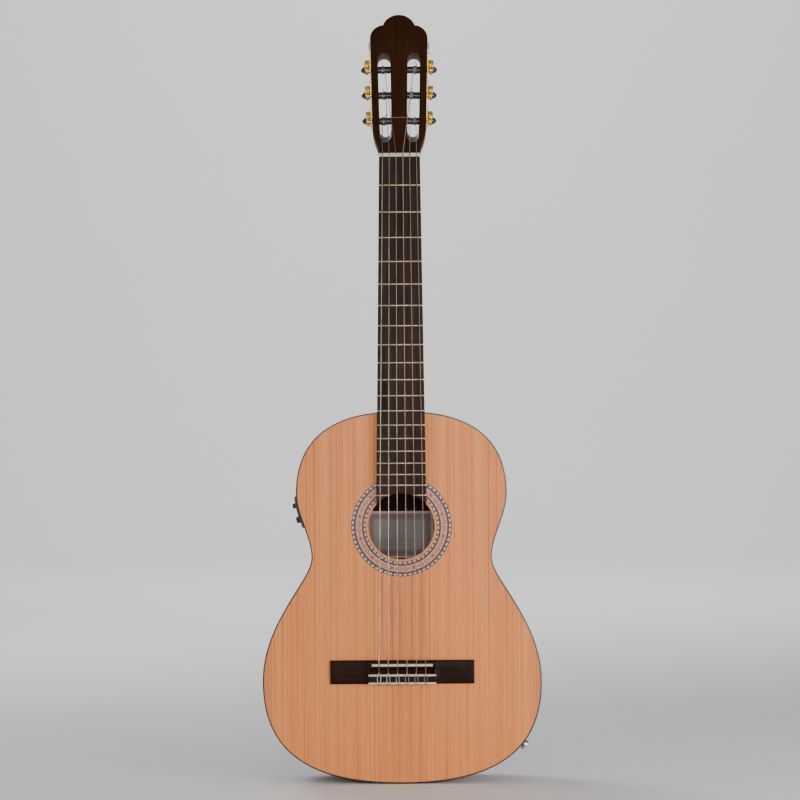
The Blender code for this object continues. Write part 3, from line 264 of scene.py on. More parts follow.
def rod(name, start, end, radius, sides=24):
    start = Vector(start)
    along = Vector(end) - start
    body = bmesh.new()
    bmesh.ops.create_cone(
        body, cap_ends=True, segments=sides, radius1=radius, radius2=radius, depth=along.length
    )
    turn = along.to_track_quat("Z", "Y").to_matrix().to_4x4()
    middle = start + along / 2
    bmesh.ops.transform(body, matrix=Matrix.Translation(middle) @ turn, verts=body.verts)
    return object_from_bmesh(name, body)


def turned(name, profile, place, steps=48, smooth_angle=40):
    """A turned shape: rings of a (radius, height) profile about local Z; radius 0 is a pole."""
    body = bmesh.new()
    rings = []
    for radius, height in profile:
        if radius < 1e-7:
            rings.append([body.verts.new(place @ Vector((0.0, 0.0, height)))])
            continue
        ring = []
        for step in range(steps):
            angle = math.tau * step / steps
            point = Vector((radius * math.cos(angle), radius * math.sin(angle), height))
            ring.append(body.verts.new(place @ point))
        rings.append(ring)
    for first, second in zip(rings, rings[1:]):
        for step in range(steps):
            following = (step + 1) % steps
            if len(first) == 1:
                body.faces.new((first[0], second[following], second[step]))
            elif len(second) == 1:
                body.faces.new((first[step], first[following], second[0]))
            else:
                body.faces.new((first[step], first[following], second[following], second[step]))
    return object_from_bmesh(name, body, smooth_angle)


def tube(name, points, radius, sides=8, close=True, radii=None):
    """A round tube on a line of points with a frame carried along it. It has a UV map that runs
    round it and, in metres, along it."""
    points = [Vector(p) for p in points]
    body = bmesh.new()
    layer = body.loops.layers.uv.new("along")
    normal = None
    rings = []
    travelled = 0.0
    lengths = []
    for index, point in enumerate(points):
        before = points[max(index - 1, 0)]
        after = points[min(index + 1, len(points) - 1)]
        tangent = (after - before).normalized()
        if normal is None:
            normal = tangent.orthogonal().normalized()
        normal = (normal - tangent * normal.dot(tangent)).normalized()
        other = tangent.cross(normal)
        if index:
            travelled += (point - points[index - 1]).length
        lengths.append(travelled)
        size = radii[index] if radii else radius
        ring = []
        for side in range(sides):
            angle = math.tau * side / sides
            offset = normal * math.cos(angle) + other * math.sin(angle)
            ring.append(body.verts.new(point + offset * size))
        rings.append(ring)
    for index, (first, second) in enumerate(zip(rings, rings[1:])):
        for side in range(sides):
            following = (side + 1) % sides
            face = body.faces.new((first[side], first[following], second[following], second[side]))
            corners = ((side, index), (side + 1, index), (side + 1, index + 1), (side, index + 1))
            for loop, (across, step) in zip(face.loops, corners):
                loop[layer].uv = (across / sides, lengths[step])
    if close:
        body.faces.new(rings[0])
        body.faces.new(rings[-1])
    return object_from_bmesh(name, body, 60)


def smooth_line(points, per_span=6):
    """A Catmull-Rom line through points."""
    points = [Vector(p) for p in points]
    padded = [points[0] * 2 - points[1], *points, points[-1] * 2 - points[-2]]
    line = []
    for a, b, c, d in zip(padded, padded[1:], padded[2:], padded[3:]):
        for step in range(per_span):
            t = step / per_span
            bend = (2 * a - 5 * b + 4 * c - d) * t * t
            line.append(0.5 * (2 * b + (c - a) * t + bend + (3 * b - a - 3 * c + d) * t ** 3))
    line.append(points[-1])
    return line


def circle_loop(radius, centre=(0.0, 0.0), count=144):
    turns = [math.tau * step / count for step in range(count)]
    return [(centre[0] + radius * math.cos(a), centre[1] + radius * math.sin(a)) for a in turns]


def arc(centre, radius, start, stop, steps):
    """Points on an arc in a plane, with both of its ends."""
    points = []
    for step in range(steps + 1):
        angle = start + (stop - start) * step / steps
        points.append((centre[0] + radius * math.cos(angle), centre[1] + radius * math.sin(angle)))
    return points


def lofted(name, rings, smooth_angle=None, closed=False):
    """A solid through rings of points, with flat ends or closed back onto its first ring."""
    body = bmesh.new()
    rows = [[body.verts.new(point) for point in ring] for ring in rings]
    loft(body, rows + rows[:1] if closed else rows, caps=not closed)
    return object_from_bmesh(name, body, smooth_angle)


def joined(name, items):
    """One object of several, with their materials kept."""
    body = bmesh.new()
    materials = []
    for item in items:
        start = len(body.faces)
        for material in item.data.materials:
            if material not in materials:
                materials.append(material)
        index = [materials.index(m) for m in item.data.materials]
        mesh = item.data.copy()
        mesh.transform(item.matrix_world)
        body.from_mesh(mesh)
        body.faces.ensure_lookup_table()
        for face in body.faces[start:]:
            face.material_index = index[face.material_index] if index else 0
        bpy.data.objects.remove(item, do_unlink=True)
    return with_materials(object_from_bmesh(name, body, 40, normals=False), materials)


# ---------------------------------------------------------------- material helpers
def srgb(*display):
    """A linear colour from 8-bit display values."""
    return tuple(((c / 255 + 0.055) / 1.055) ** 2.4 if c > 10 else c / 255 / 12.92 for c in display)


class Finish:
    """A material and short calls for the nodes that paint it."""

    def __init__(self, name, **constants):
        self.material = bpy.data.materials.new(name)
        self.material.use_nodes = True
        self.tree = self.material.node_tree
        self.shader = self.tree.nodes["Principled BSDF"]
        for socket, value in constants.items():
            self.shader.inputs[socket.replace("_", " ")].default_value = value
        self.place = self.tree.nodes.new("ShaderNodeTexCoord").outputs["Object"]

    def node(self, kind, inputs=(), **settings):
        made = self.tree.nodes.new(kind)
        for key, value in settings.items():
            setattr(made, key, value)
        for socket, value in dict(inputs).items():
            if isinstance(value, bpy.types.NodeSocket):
                self.tree.links.new(value, made.inputs[socket])
            else:
                made.inputs[socket].default_value = value
        return made

    def math(self, operation, first, second=0.0, third=0.0):
        inputs = {0: first, 1: second, 2: third}
        return self.node("ShaderNodeMath", inputs, operation=operation).outputs[0]

    def split(self, vector=None):
        parts = self.node("ShaderNodeSeparateXYZ", {0: vector or self.place})
        return parts.outputs[0], parts.outputs[1], parts.outputs[2]

    def vector(self, x=0.0, y=0.0, z=0.0):
        return self.node("ShaderNodeCombineXYZ", {0: x, 1: y, 2: z}).outputs[0]

    def stretched(self, scale, vector=None):
        inputs = {"Vector": vector or self.place, "Scale": scale}
        return self.node("ShaderNodeMapping", inputs).outputs[0]

    def times(self, first, second):
        return self.math("MULTIPLY", first, second)

    def noise(self, vector, detail):
        inputs = {"Vector": vector, "Scale": 1.0, "Detail": detail, "Roughness": 0.55}
        return self.node("ShaderNodeTexNoise", inputs).outputs["Fac"]

    def cloud(self, cells, detail):
        """Noise with so many cells in a metre, the same every way or one number for each axis."""
        return self.noise(self.stretched(cells if isinstance(cells, tuple) else (cells,) * 3), detail)

    def remap(self, value, low, high, out_low=0.0, out_high=1.0, smooth=False):
        inputs = {"Value": value, "From Min": low, "From Max": high, "To Min": out_low, "To Max": out_high}
        kind = "SMOOTHSTEP" if smooth else "LINEAR"
        return self.node("ShaderNodeMapRange", inputs, interpolation_type=kind).outputs[0]

    def mix(self, share, first, second, blend="MIX"):
        made = self.node("ShaderNodeMix", data_type="RGBA", blend_type=blend)
        for socket, value in ((0, share), (6, first), (7, second)):
            if isinstance(value, bpy.types.NodeSocket):
                self.tree.links.new(value, made.inputs[socket])
            elif socket == 0:
                made.inputs[0].default_value = value
            else:
                made.inputs[socket].default_value = (*value, 1.0)
        return made.outputs[2]

    def paint(self, colour=None, roughness=None, height=None, bump=0.2, depth=0.0002):
        """Links what varies to the shader; the bump's depth is in metres."""
        if colour is not None:
            self.tree.links.new(colour, self.shader.inputs["Base Color"])
        if roughness is not None:
            self.tree.links.new(roughness, self.shader.inputs["Roughness"])
        if height is not None:
            inputs = {"Height": height, "Strength": bump, "Distance": depth}
            relief = self.node("ShaderNodeBump", inputs)
            self.tree.links.new(relief.outputs[0], self.shader.inputs["Normal"])
        return self.material


def straight_grained(name, early, late, accent, *, spacing=0.00135, along="Z", roughness=0.38, **extra):
    """A softwood plate in two mirrored halves: fine growth lines along it, and broad tinted bands."""
    finish = Finish(name, Roughness=roughness, **extra)
    x, y, z = finish.split()
    half = finish.math("ABSOLUTE", x)
    length = z if along == "Z" else x
    across = half if along == "Z" else z

    def banded(per_width, per_length, offset=0.0, detail=2.0):
        wide = finish.times(across, per_width)
        long = finish.times(length, per_length)
        return finish.noise(finish.vector(wide, offset, long), detail)

    drift = finish.times(banded(26.0, 1.6), 0.0045)
    pitch = finish.math("DIVIDE", finish.math("ADD", across, drift), spacing)
    line = finish.noise(finish.vector(pitch, 0.0, finish.times(length, 1.3)), 2.0)
    line = finish.remap(line, 0.46, 0.66, 0.0, 1.0, smooth=True)
    fibre = banded(1500.0, 30.0, detail=3.0)
    strength = finish.remap(banded(210.0, 2.0, 3.0), 0.25, 0.75, 0.15, 1.0)
    grain = finish.times(line, strength)
    broad = banded(62.0, 1.1, 7.0)
    broad = finish.remap(broad, 0.38, 0.70)
    colour = finish.mix(finish.times(grain, 0.7), early, late)
    colour = finish.mix(finish.times(broad, 0.42), colour, accent)
    colour = finish.mix(finish.remap(fibre, 0.3, 0.75, 0.0, 0.28), colour, late)
    return finish, colour, grain, fibre, (x, y, z)


def cedar():
    """The soundboard: warm cedar with redder streaks on both sides of its middle joint, which are grain,
    made stronger below the soundhole by painted shadow of the strings.
    """
    finish, colour, grain, fibre, (x, _, z) = straight_grained(
        "cedar_top", srgb(240, 150, 84), srgb(150, 66, 24), srgb(208, 110, 54), spacing=0.0026,
        roughness=0.40, Coat_Weight=0.08, Coat_Roughness=0.22, Specular_IOR_Level=0.2,
    )
    middle = finish.remap(finish.math("ABSOLUTE", x), 0.022, 0.058, 1.0, 0.0, smooth=True)
    streak_and_shadow_place = finish.vector(finish.times(x, 150.0), 0.0, finish.times(z, 2.6))
    streak = finish.remap(finish.noise(streak_and_shadow_place, 2.0), 0.47, 0.62)
    # Stronger below the soundhole, where the streaks are also painted shadow of the strings.
    below_with_string_shadow = finish.remap(z, -0.540, -0.580, 0.35, 1.0)
    share = finish.times(finish.times(streak, middle), below_with_string_shadow)
    # Redder tone of the streaks: grain, and below the soundhole painted shadow of the strings.
    colour = finish.mix(finish.times(share, 0.40), colour, srgb(178, 96, 54))
    wing = finish.remap(finish.math("ABSOLUTE", x), 0.1672, 0.1676)
    colour = finish.mix(finish.times(wing, 0.5), colour, srgb(196, 122, 78))
    rough = finish.remap(fibre, 0.3, 0.7, 0.34, 0.46)
    return finish.paint(colour, rough, grain, 0.18, 0.00006)


def spruce(name="brace_spruce"):
    finish, colour, _, fibre, _ = straight_grained(
        name, srgb(176, 130, 78), srgb(126, 84, 44), srgb(146, 100, 56), spacing=0.0016, roughness=0.7
    )
    return finish.paint(colour, None, fibre, 0.3, 0.0002)


def pored_wood(name, light, dark, pore, *, along="Z", figure=0.35, pores=0.5, scale=1.0, rough=(0.3, 0.42),
               **extra):
    """A hardwood: long wavering figure, and short dark pores that lie along it."""
    finish = Finish(name, **extra)
    x, y, z = finish.split()
    order = {"Z": (x, y, z), "X": (z, y, x), "Y": (x, z, y)}[along]
    a, b, length = order

    def placed(across, lengthwise, offset=0.0):
        return finish.vector(
            finish.math("MULTIPLY_ADD", a, across * scale, offset),
            finish.times(b, across * scale),
            finish.times(length, lengthwise * scale),
        )

    wide = finish.noise(placed(85.0, 5.0), 3.0)
    streak = finish.noise(placed(420.0, 9.0, 5.0), 3.0)
    short = finish.noise(placed(1500.0, 75.0, 9.0), 2.0)
    ribbon = finish.noise(placed(30.0, 22.0, 2.0), 2.0)
    tone = finish.math("ADD", finish.times(wide, 0.45), finish.times(streak, 0.55))
    tone = finish.remap(tone, 0.33, 0.66)
    colour = finish.mix(tone, light, dark)
    colour = finish.mix(finish.remap(ribbon, 0.42, 0.66, 0.0, figure), colour, light)
    mark = finish.remap(short, 0.60, 0.70, 0.0, pores)
    colour = finish.mix(mark, colour, pore)
    roughness = finish.remap(streak, 0.3, 0.7, rough[0], rough[1])
    depth = finish.math("SUBTRACT", finish.times(streak, 0.4), mark)
    return finish.paint(colour, roughness, depth, 0.25, 0.00008)


def bone(name="bone"):
    finish = Finish(name, Roughness=0.32, Subsurface_Weight=0.06, Subsurface_Scale=0.002)
    cloud = finish.cloud((260.0, 260.0, 120.0), 4.0)
    fine = finish.cloud((2400.0, 900.0, 900.0), 3.0)
    colour = finish.mix(finish.remap(cloud, 0.35, 0.7), srgb(214, 204, 182), srgb(190, 176, 146))
    colour = finish.mix(finish.remap(fine, 0.6, 0.75, 0.0, 0.4), colour, srgb(150, 132, 98))
    return finish.paint(colour, finish.remap(fine, 0.3, 0.7, 0.26, 0.42), fine, 0.15, 0.00004)


def metal(name, clean, worn, rough=(0.18, 0.34), scale=900.0, bump=0.12):
    """Plated metal with handling haze and fine scratches."""
    finish = Finish(name, Metallic=1.0)
    haze = finish.cloud(scale * 0.25, 4.0)
    scratch = finish.cloud((scale * 4, scale, scale * 0.3), 3.0)
    colour = finish.mix(finish.remap(haze, 0.4, 0.7), clean, worn)
    roughness = finish.math(
        "ADD", finish.remap(haze, 0.3, 0.7, *rough), finish.remap(scratch, 0.55, 0.7, 0.0, 0.08),
    )
    return finish.paint(colour, roughness, scratch, bump, 0.00003)


def plastic(name, main, shade, rough=(0.12, 0.24), grain=2600.0, bump=0.1, **extra):
    """Moulded plastic: a slight tone change, a fine skin and a hazier patch here and there."""
    finish = Finish(name, **extra)
    patch = finish.cloud(180.0, 3.0)
    skin = finish.cloud(grain, 2.0)
    colour = finish.mix(finish.remap(patch, 0.35, 0.65), main, shade)
    return finish.paint(colour, finish.remap(patch, 0.3, 0.7, *rough), skin, bump, 0.00005)


def nylon():
    finish = Finish("nylon", Roughness=0.22, IOR=1.5, Coat_Weight=0.2, Coat_Roughness=0.1)
    haze = finish.cloud((900.0, 900.0, 60.0), 3.0)
    colour = finish.mix(finish.remap(haze, 0.35, 0.65), srgb(150, 134, 120), srgb(124, 108, 94))
    return finish.paint(colour, finish.remap(haze, 0.3, 0.7, 0.18, 0.3), haze, 0.05, 0.00002)


def wound_silver():
    """Silver-plated wire laid round a bass string, from the string's own length, with painted shade in the
    grooves between its turns.
    """
    finish = Finish("silver_wound", Metallic=1.0)
    mapped = finish.node("ShaderNodeUVMap", uv_map="along").outputs[0]
    across, along, _ = finish.split(mapped)
    pitch = 0.00020
    turn = finish.math(
        "ADD", finish.times(along, math.tau / pitch),
        finish.times(across, math.tau),
    )
    ridge = finish.remap(finish.math("SINE", turn), -1.0, 1.0)
    tarnish = finish.cloud((400.0, 400.0, 40.0), 3.0)
    colour = finish.mix(finish.remap(tarnish, 0.35, 0.7), srgb(186, 180, 172), srgb(140, 128, 114))
    # Painted shade in the grooves between the wire's turns.
    colour = finish.mix(finish.remap(ridge, 0.0, 0.35, 0.5, 0.0), colour, srgb(70, 64, 58))
    return finish.paint(colour, finish.remap(tarnish, 0.3, 0.7, 0.26, 0.42), ridge, 0.4, 0.00008)


def inlay(name, main, other, rough=0.35):
    """Dyed veneer of the rosette, under the same lacquer as the top."""
    finish = Finish(name, Roughness=rough, Coat_Weight=0.25, Coat_Roughness=0.2)
    fibre = finish.cloud(1900.0, 3.0)
    patch = finish.cloud(240.0, 2.0)
    colour = finish.mix(finish.remap(fibre, 0.35, 0.65), main, other)
    colour = finish.mix(finish.remap(patch, 0.4, 0.7, 0.0, 0.3), colour, other)
    return finish.paint(colour, None, fibre, 0.1, 0.00003)


def paper(name, main, other):
    finish = Finish(name, Roughness=0.85)
    fibre = finish.cloud(700.0, 5.0)
    stain = finish.cloud(45.0, 3.0)
    colour = finish.mix(finish.remap(fibre, 0.3, 0.7), main, other)
    colour = finish.mix(finish.remap(stain, 0.45, 0.7, 0.0, 0.35), colour, other)
    return finish.paint(colour, None, fibre, 0.2, 0.00005)


CEDAR = cedar()
SPRUCE = spruce()
MAHOGANY = dict(light=srgb(122, 54, 32), dark=srgb(78, 28, 16), pore=srgb(30, 9, 6))
BACK_WOOD = pored_wood("mahogany_back", **MAHOGANY, Coat_Weight=0.5, Coat_Roughness=0.12)
BARE_BACK_WOOD = pored_wood(
    "mahogany_back_inside", srgb(84, 38, 18), srgb(54, 21, 9), srgb(24, 9, 4),
    rough=(0.7, 0.85), Specular_IOR_Level=0.1,
)
HEAD_CORE_WOOD = pored_wood(
    "mahogany_head", srgb(104, 36, 20), srgb(70, 20, 11), srgb(28, 8, 5),
    figure=0.2, rough=(0.4, 0.55), Specular_IOR_Level=0.15,
)
SIDE_WOOD = pored_wood("mahogany_sides", **MAHOGANY, Coat_Weight=0.5, Coat_Roughness=0.12)
NECK_WOOD = pored_wood("mahogany_neck", **MAHOGANY, figure=0.2, Coat_Weight=0.35, Coat_Roughness=0.18)
INNER_WOOD = pored_wood(
    "mahogany_inside", srgb(128, 66, 40), srgb(92, 42, 24), srgb(40, 16, 10), rough=(0.6, 0.75),
)
BINDING_WOOD = pored_wood(
    "black_binding", srgb(26, 17, 15), srgb(10, 7, 7), srgb(3, 2, 2), Coat_Weight=0.5,
    Coat_Roughness=0.15,
)
HEAD_WOOD = pored_wood(
    "head_rosewood", srgb(56, 26, 3), srgb(30, 12, 1), srgb(10, 4, 1),
    pores=0.6, Coat_Weight=0.06, Coat_Roughness=0.2, Specular_IOR_Level=0.12,
)
BOARD_WOOD = pored_wood(
    "board_rosewood", srgb(64, 44, 34), srgb(30, 19, 15), srgb(11, 7, 6),
    pores=0.75, rough=(0.42, 0.6), Specular_IOR_Level=0.1,
)
BRIDGE_WOOD = pored_wood(
    "bridge_rosewood", srgb(46, 22, 12), srgb(20, 9, 5), srgb(6, 3, 2),
    along="X", pores=0.7, rough=(0.34, 0.5), Specular_IOR_Level=0.1,
)
BONE = bone()
STRIP_BONE = bone("strip_ivory")
GOLD = metal("gold_metal", srgb(246, 206, 112), srgb(222, 172, 80), rough=(0.12, 0.24))
STEEL = metal("screw_steel", srgb(206, 190, 160), srgb(150, 130, 96), rough=(0.25, 0.4))
FRET_METAL = metal("fret_nickel", srgb(214, 204, 172), srgb(170, 156, 120), rough=(0.2, 0.34))
CHROME = metal("jack_chrome", srgb(222, 222, 224), srgb(180, 180, 184), rough=(0.07, 0.18))
ROLLER_BLACK = plastic("roller_plastic", srgb(22, 20, 21), srgb(38, 34, 34), (0.16, 0.28), Coat_Weight=0.3)
BUTTON_BLACK = plastic(
    "button_black", srgb(18, 17, 18), srgb(34, 31, 32), (0.08, 0.2), bump=0.04, Coat_Weight=0.4,
)
PANEL_GREY = plastic("grey_panel", srgb(66, 66, 72), srgb(50, 50, 56), (0.42, 0.56), 3200.0, 0.3)
KNOB_BLACK = plastic("knob_black", srgb(34, 34, 38), srgb(22, 22, 25), (0.3, 0.45), 3200.0, 0.2)
MARK_WHITE = plastic("mark_white", srgb(226, 224, 216), srgb(198, 194, 184), (0.4, 0.5))
LAMP_RED = plastic("lamp_red", srgb(150, 16, 12), srgb(96, 8, 8), (0.08, 0.16))
NYLON = nylon()
SILVER = wound_silver()


# ---------------------------------------------------------------- the box's outline
def half_outline(inset, steps=OUTLINE_STEPS):
    """Points (x, z) of the treble half, butt to heel, moved inwards by inset."""
    points = []
    for (start, _, handle_out), (end, handle_in, _) in zip(OUTLINE_KNOTS, OUTLINE_KNOTS[1:]):
        start, end = Vector(start), Vector(end)
        span = interpolate_bezier(start, start + Vector(handle_out), end + Vector(handle_in), end, steps)
        points += [Vector(p[:2]) for p in span[:-1]]
    points.append(Vector((0.0, BODY_LENGTH)))
    moved = []
    for index, point in enumerate(points):
        if index in (0, len(points) - 1):
            inward = Vector((0.0, 1.0 if index == 0 else -1.0))
        else:
            along = (points[index + 1] - points[index - 1]).normalized()
            inward = Vector((-along.y, along.x))
        shifted = point + inward * inset
        moved.append((shifted.x, shifted.y + BUTT_Z))
    return moved


def full_outline(inset):
    half = half_outline(inset)
    return half + [(-x, z) for x, z in reversed(half[1:-1])]


def back_y(z):
    share = (BODY_TOP_Z - z) / BODY_LENGTH
    return TOP_FRONT_Y + DEPTH_AT_HEEL + (DEPTH_AT_BUTT - DEPTH_AT_HEEL) * share


def swept(name, rings, close_ring=True, smooth_angle=35):
    """Quads between closed loops of the same count, as a band round the body."""
    body = bmesh.new()
    rows = [[body.verts.new(p) for p in ring] for ring in rings]
    count = len(rows[0])
    last = count if close_ring else count - 1
    pairs = list(zip(rows, rows[1:]))
    if close_ring or len(rows) > 2:
        pairs.append((rows[-1], rows[0]))
    for first, second in pairs:
        for index in range(last):
            following = (index + 1) % count
            body.faces.new((first[index], first[following], second[following], second[index]))
    if not close_ring:
        body.faces.new([row[0] for row in rows])
        body.faces.new([row[-1] for row in rows])
    return object_from_bmesh(name, body, smooth_angle)


def make_top():
    inset = BINDING_WIDTH + 0.0001
    hole = circle_loop(SOUNDHOLE_RADIUS, (0.0, SOUNDHOLE_Z))
    loops = [full_outline(inset), hole]
    top = prism("soundboard_plate", loops, TOP_FRONT_Y, TOP_FRONT_Y + PLATE_THICKNESS)
    place_piece(top, ROOT, nodes=("soundboard",), material=CEDAR)


def make_back():
    """One plate with a dark centre line down its middle, on a back that slopes towards the heel."""
    outline = full_outline(BINDING_WIDTH + 0.0001)
    plate = prism("back_plate", [outline], 0.0, 1.0)
    for vertex in plate.data.vertices:
        rear = vertex.co.y > 0.5
        vertex.co.y = back_y(vertex.co.z) - (0.0 if rear else PLATE_THICKNESS)
    painted(plate, BACK_WOOD, BARE_BACK_WOOD)
    for face in plate.data.polygons:
        face.material_index = 1 if face.normal.y < -0.5 else 0
    place_piece(plate, ROOT, nodes=("back",))
    half, under, proud = CENTRE_LINE_HALF_WIDTH, -0.0008, 0.00002
    top_z, low_z = BODY_TOP_Z - BINDING_WIDTH, BUTT_Z + BINDING_WIDTH
    steps = 24
    rings = []
    for step in range(steps + 1):
        z = top_z + (low_z - top_z) * step / steps
        section = ((-half, under), (-half, proud), (half, proud), (half, under))
        rings.append([(x, min(back_y(z) + out, CAD_BOX[1].y), z) for x, out in section])
    line = lofted("back_centre_line", rings)
    place_piece(line, ROOT, material=BINDING_WOOD)


def loft(body, rows, caps=True):
    """Quads along rings of vertices, with flat ends."""
    count = len(rows[0])
    for first, second in zip(rows, rows[1:]):
        for index in range(count):
            following = (index + 1) % count
            body.faces.new((first[index], first[following], second[following], second[index]))
    if caps:
        body.faces.new(rows[0])
        body.faces.new(rows[-1])


def make_bindings():
    """Binding strips with a rounded outer corner, on the front and on the back."""
    corner = 0.0009
    sections = {
        "top_binding": lambda z: (TOP_FRONT_Y, 1),
        "back_binding": lambda z: (back_y(z), -1),
    }
    for name, edge in sections.items():
        rings = []
        profile = [(BINDING_WIDTH, 0.0)]
        for step in range(5):
            angle = math.pi / 2 * step / 4
            profile.append((corner * (1 - math.sin(angle)), corner * (1 - math.cos(angle))))
        profile += [(0.0, BINDING_DEPTH), (BINDING_WIDTH, BINDING_DEPTH)]
        for inset, depth in profile:
            ring = []
            for x, z in full_outline(inset):
                y, inward = edge(z)
                ring.append((x, y + inward * depth, z))
            rings.append(ring)
        strip = swept(name + "_strip", rings)
        place_piece(strip, ROOT, nodes=(name,), material=BINDING_WOOD)


def make_sides():
    """Two bent ribs; the bass one has the preamp's opening."""
    front = TOP_FRONT_Y + BINDING_DEPTH + 0.0001
    for name, side in (("side_bass", -1), ("side_treble", 1)):
        rings = []
        for inset, deep in ((0.0, False), (0.0, True), (SIDE_THICKNESS, True), (SIDE_THICKNESS, False)):
            ring = []
            for x, z in half_outline(inset):
                y = back_y(z) - BINDING_DEPTH - 0.0001 if deep else front
                ring.append((side * max(x, 0.0001), y, z))
            rings.append(ring)
        rib = swept(name + "_rib", rings, close_ring=False)
        if side < 0:
            low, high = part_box("preamp_panel")
            hole = block("preamp_hole", (low.x - 0.004, low.y + 0.0038, low.z + 0.0045),
                         (low.x + 0.045, high.y - 0.0038, high.z - 0.0045))
            rib = soften(boolean(rib, hole), 35)
        place_piece(rib, ROOT, nodes=(name,), material=SIDE_WOOD)


def make_end_seam():
    """A dark inlaid line over the joint of the two ribs at the butt."""
    front = TOP_FRONT_Y + BINDING_DEPTH + 0.0002
    rear = back_y(BUTT_Z) - BINDING_DEPTH - 0.0002
    half = CENTRE_LINE_HALF_WIDTH
    seam = bevelled(
        block("butt_seam_line", (-half, front, BUTT_Z), (half, rear, BUTT_Z + 2 * half)), 0.0001,
    )
    place_piece(applied(seam), ROOT, material=BINDING_WOOD)


# ---------------------------------------------------------------- rosette
MOSAIC_MOTIF = (
    "................................",
    ".dd.d......d..r..d......d.dd....",
    "d...d..r...d.rrr.d...r..d...d...",
    "d.r.d.rr.d..rrdrr..d.rr.d.r.d.r.",
    "d.r.d.rr.d..rrdrr..d.rr.d.r.d.r.",
    "d...d..r...d.rrr.d...r..d...d...",
    ".dd.d......d..r..d......d.dd....",
    "................................",
)
MOSAIC_REPEATS = 12
RING_LIFT = 0.00002
RING_THICKNESS = 0.0007
# Where each ring ends and the next begins, from the soundhole outwards.
ROSETTE_RADII = (0.0455, 0.0457, 0.0488, 0.0508, 0.0586, 0.0606, 0.0640, 0.0644)
LINE_STEPS = 144
DASHES_INNER = 240              # tiles round each ring of dashes
DASHES_OUTER = 310
DASH_ROWS = 5                   # a black line, three rows of dashes, a black line
DASH_LENGTH = 5                 # tiles in one white and black pair
DASH_WHITE = 3                  # of which white


def ring_cells(name, inner, outer, rows, columns, choose, materials, top_y, thickness):
    """A flat ring of small tiles; choose(row, column) picks each tile's material."""
    body = bmesh.new()
    grids = []
    for y in (top_y, top_y + thickness):
        grid = []
        for row in range(rows + 1):
            radius = inner + (outer - inner) * row / rows
            line = []
            for column in range(columns):
                angle = math.tau * column / columns
                line.append(body.verts.new((
                    radius * math.sin(angle), y, SOUNDHOLE_Z + radius * math.cos(angle),
                )))
            grid.append(line)
        grids.append(grid)
    for grid in grids:
        for row in range(rows):
            for column in range(columns):
                after = (column + 1) % columns
                face = body.faces.new((
                    grid[row][column], grid[row][after], grid[row + 1][after], grid[row + 1][column],
                ))
                face.material_index = choose(row, column)
    for row in (0, rows):
        for column in range(columns):
            after = (column + 1) % columns
            body.faces.new((
                grids[0][row][column], grids[0][row][after], grids[1][row][after],
                grids[1][row][column],
            ))
    return with_materials(object_from_bmesh(name, body), materials)


def make_rosette():
    """Rings of dyed veneer let into the top: dashes, dark red lines and a tile mosaic."""
    white = inlay("rosette_white", srgb(206, 190, 170), srgb(182, 160, 136))
    black = inlay("rosette_black", srgb(34, 28, 28), srgb(58, 48, 44))
    red = inlay("rosette_red", srgb(100, 8, 22), srgb(76, 4, 14))
    field = inlay("rosette_field", srgb(206, 152, 120), srgb(184, 128, 98))
    rust = inlay("rosette_rust", srgb(172, 72, 56), srgb(140, 50, 42))
    dark = inlay("rosette_dark", srgb(78, 44, 44), srgb(48, 28, 30))
    top_y = TOP_FRONT_Y - RING_LIFT
    motif_length = len(MOSAIC_MOTIF[0])
    motif_rows = len(MOSAIC_MOTIF)
    codes = {".": 0, "r": 1, "d": 2}

    def solid(row, column):
        return 0

    def mosaic(row, column):
        return codes[MOSAIC_MOTIF[row % motif_rows][column % motif_length]]

    def dash(row, column):
        on_edge = row in (0, DASH_ROWS - 1)
        return 1 if on_edge or column % DASH_LENGTH >= DASH_WHITE else 0

    edge_in, dash_in, red_in, mosaic_in, mosaic_out, red_out, dash_out, edge_out = ROSETTE_RADII
    mosaic_columns = MOSAIC_REPEATS * motif_length
    tiles = (field, rust, dark)
    rings = (
        ("rosette_dashes_inner", dash_in, red_in, DASH_ROWS, DASHES_INNER, dash, (white, black)),
        ("rosette_red_inner", red_in, mosaic_in, 1, LINE_STEPS, solid, (red,)),
        ("rosette_mosaic", mosaic_in, mosaic_out, motif_rows, mosaic_columns, mosaic, tiles),
        ("rosette_red_outer", mosaic_out, red_out, 1, LINE_STEPS, solid, (red,)),
        ("rosette_dashes_outer", red_out, dash_out, DASH_ROWS, DASHES_OUTER, dash, (white, black)),
        ("rosette_edge_inner", edge_in, dash_in, 1, LINE_STEPS, solid, (black,)),
        ("rosette_edge_outer", dash_out, edge_out, 1, LINE_STEPS, solid, (black,)),
    )
    for name, inner, outer, rows, columns, choose, materials in rings:
        ring = ring_cells(name, inner, outer, rows, columns, choose, materials, top_y, RING_THICKNESS)
        nodes = ("rosette",) if name == "rosette_mosaic" else ()
        place_piece(ring, ROOT, nodes=nodes)


LABEL_HALF_WIDTH = 0.0445
LABEL_TOP_Z = -0.4570
LABEL_LOW_Z = -0.5190
LABEL_SHIFT = -0.0024           # its middle stands this far to the bass side
LABEL_CLEARANCE = 0.0061        # from the back's outer face to the paper
LABEL_MARGIN = 0.0032           # plain paper outside the border
LABEL_BAND = 0.0083             # the border's width
MARK_PITCH = 0.0024
MARKS_ACROSS = 30
MARKS_DOWN = 19


def on_label(x, z, lift):
    return (x + LABEL_SHIFT, back_y(z) - LABEL_CLEARANCE - lift, z)


def label_panel(name, half, low_z, high_z, lift, material):
    """A thin flat sheet on the label, lift above the paper."""
    under = lift - 0.0001
    rings = []
    for z in (low_z, high_z):
        section = ((-half, lift), (half, lift), (half, under), (-half, under))
        rings.append([on_label(x, z, up) for x, up in section])
    return painted(lofted(name, rings), material)


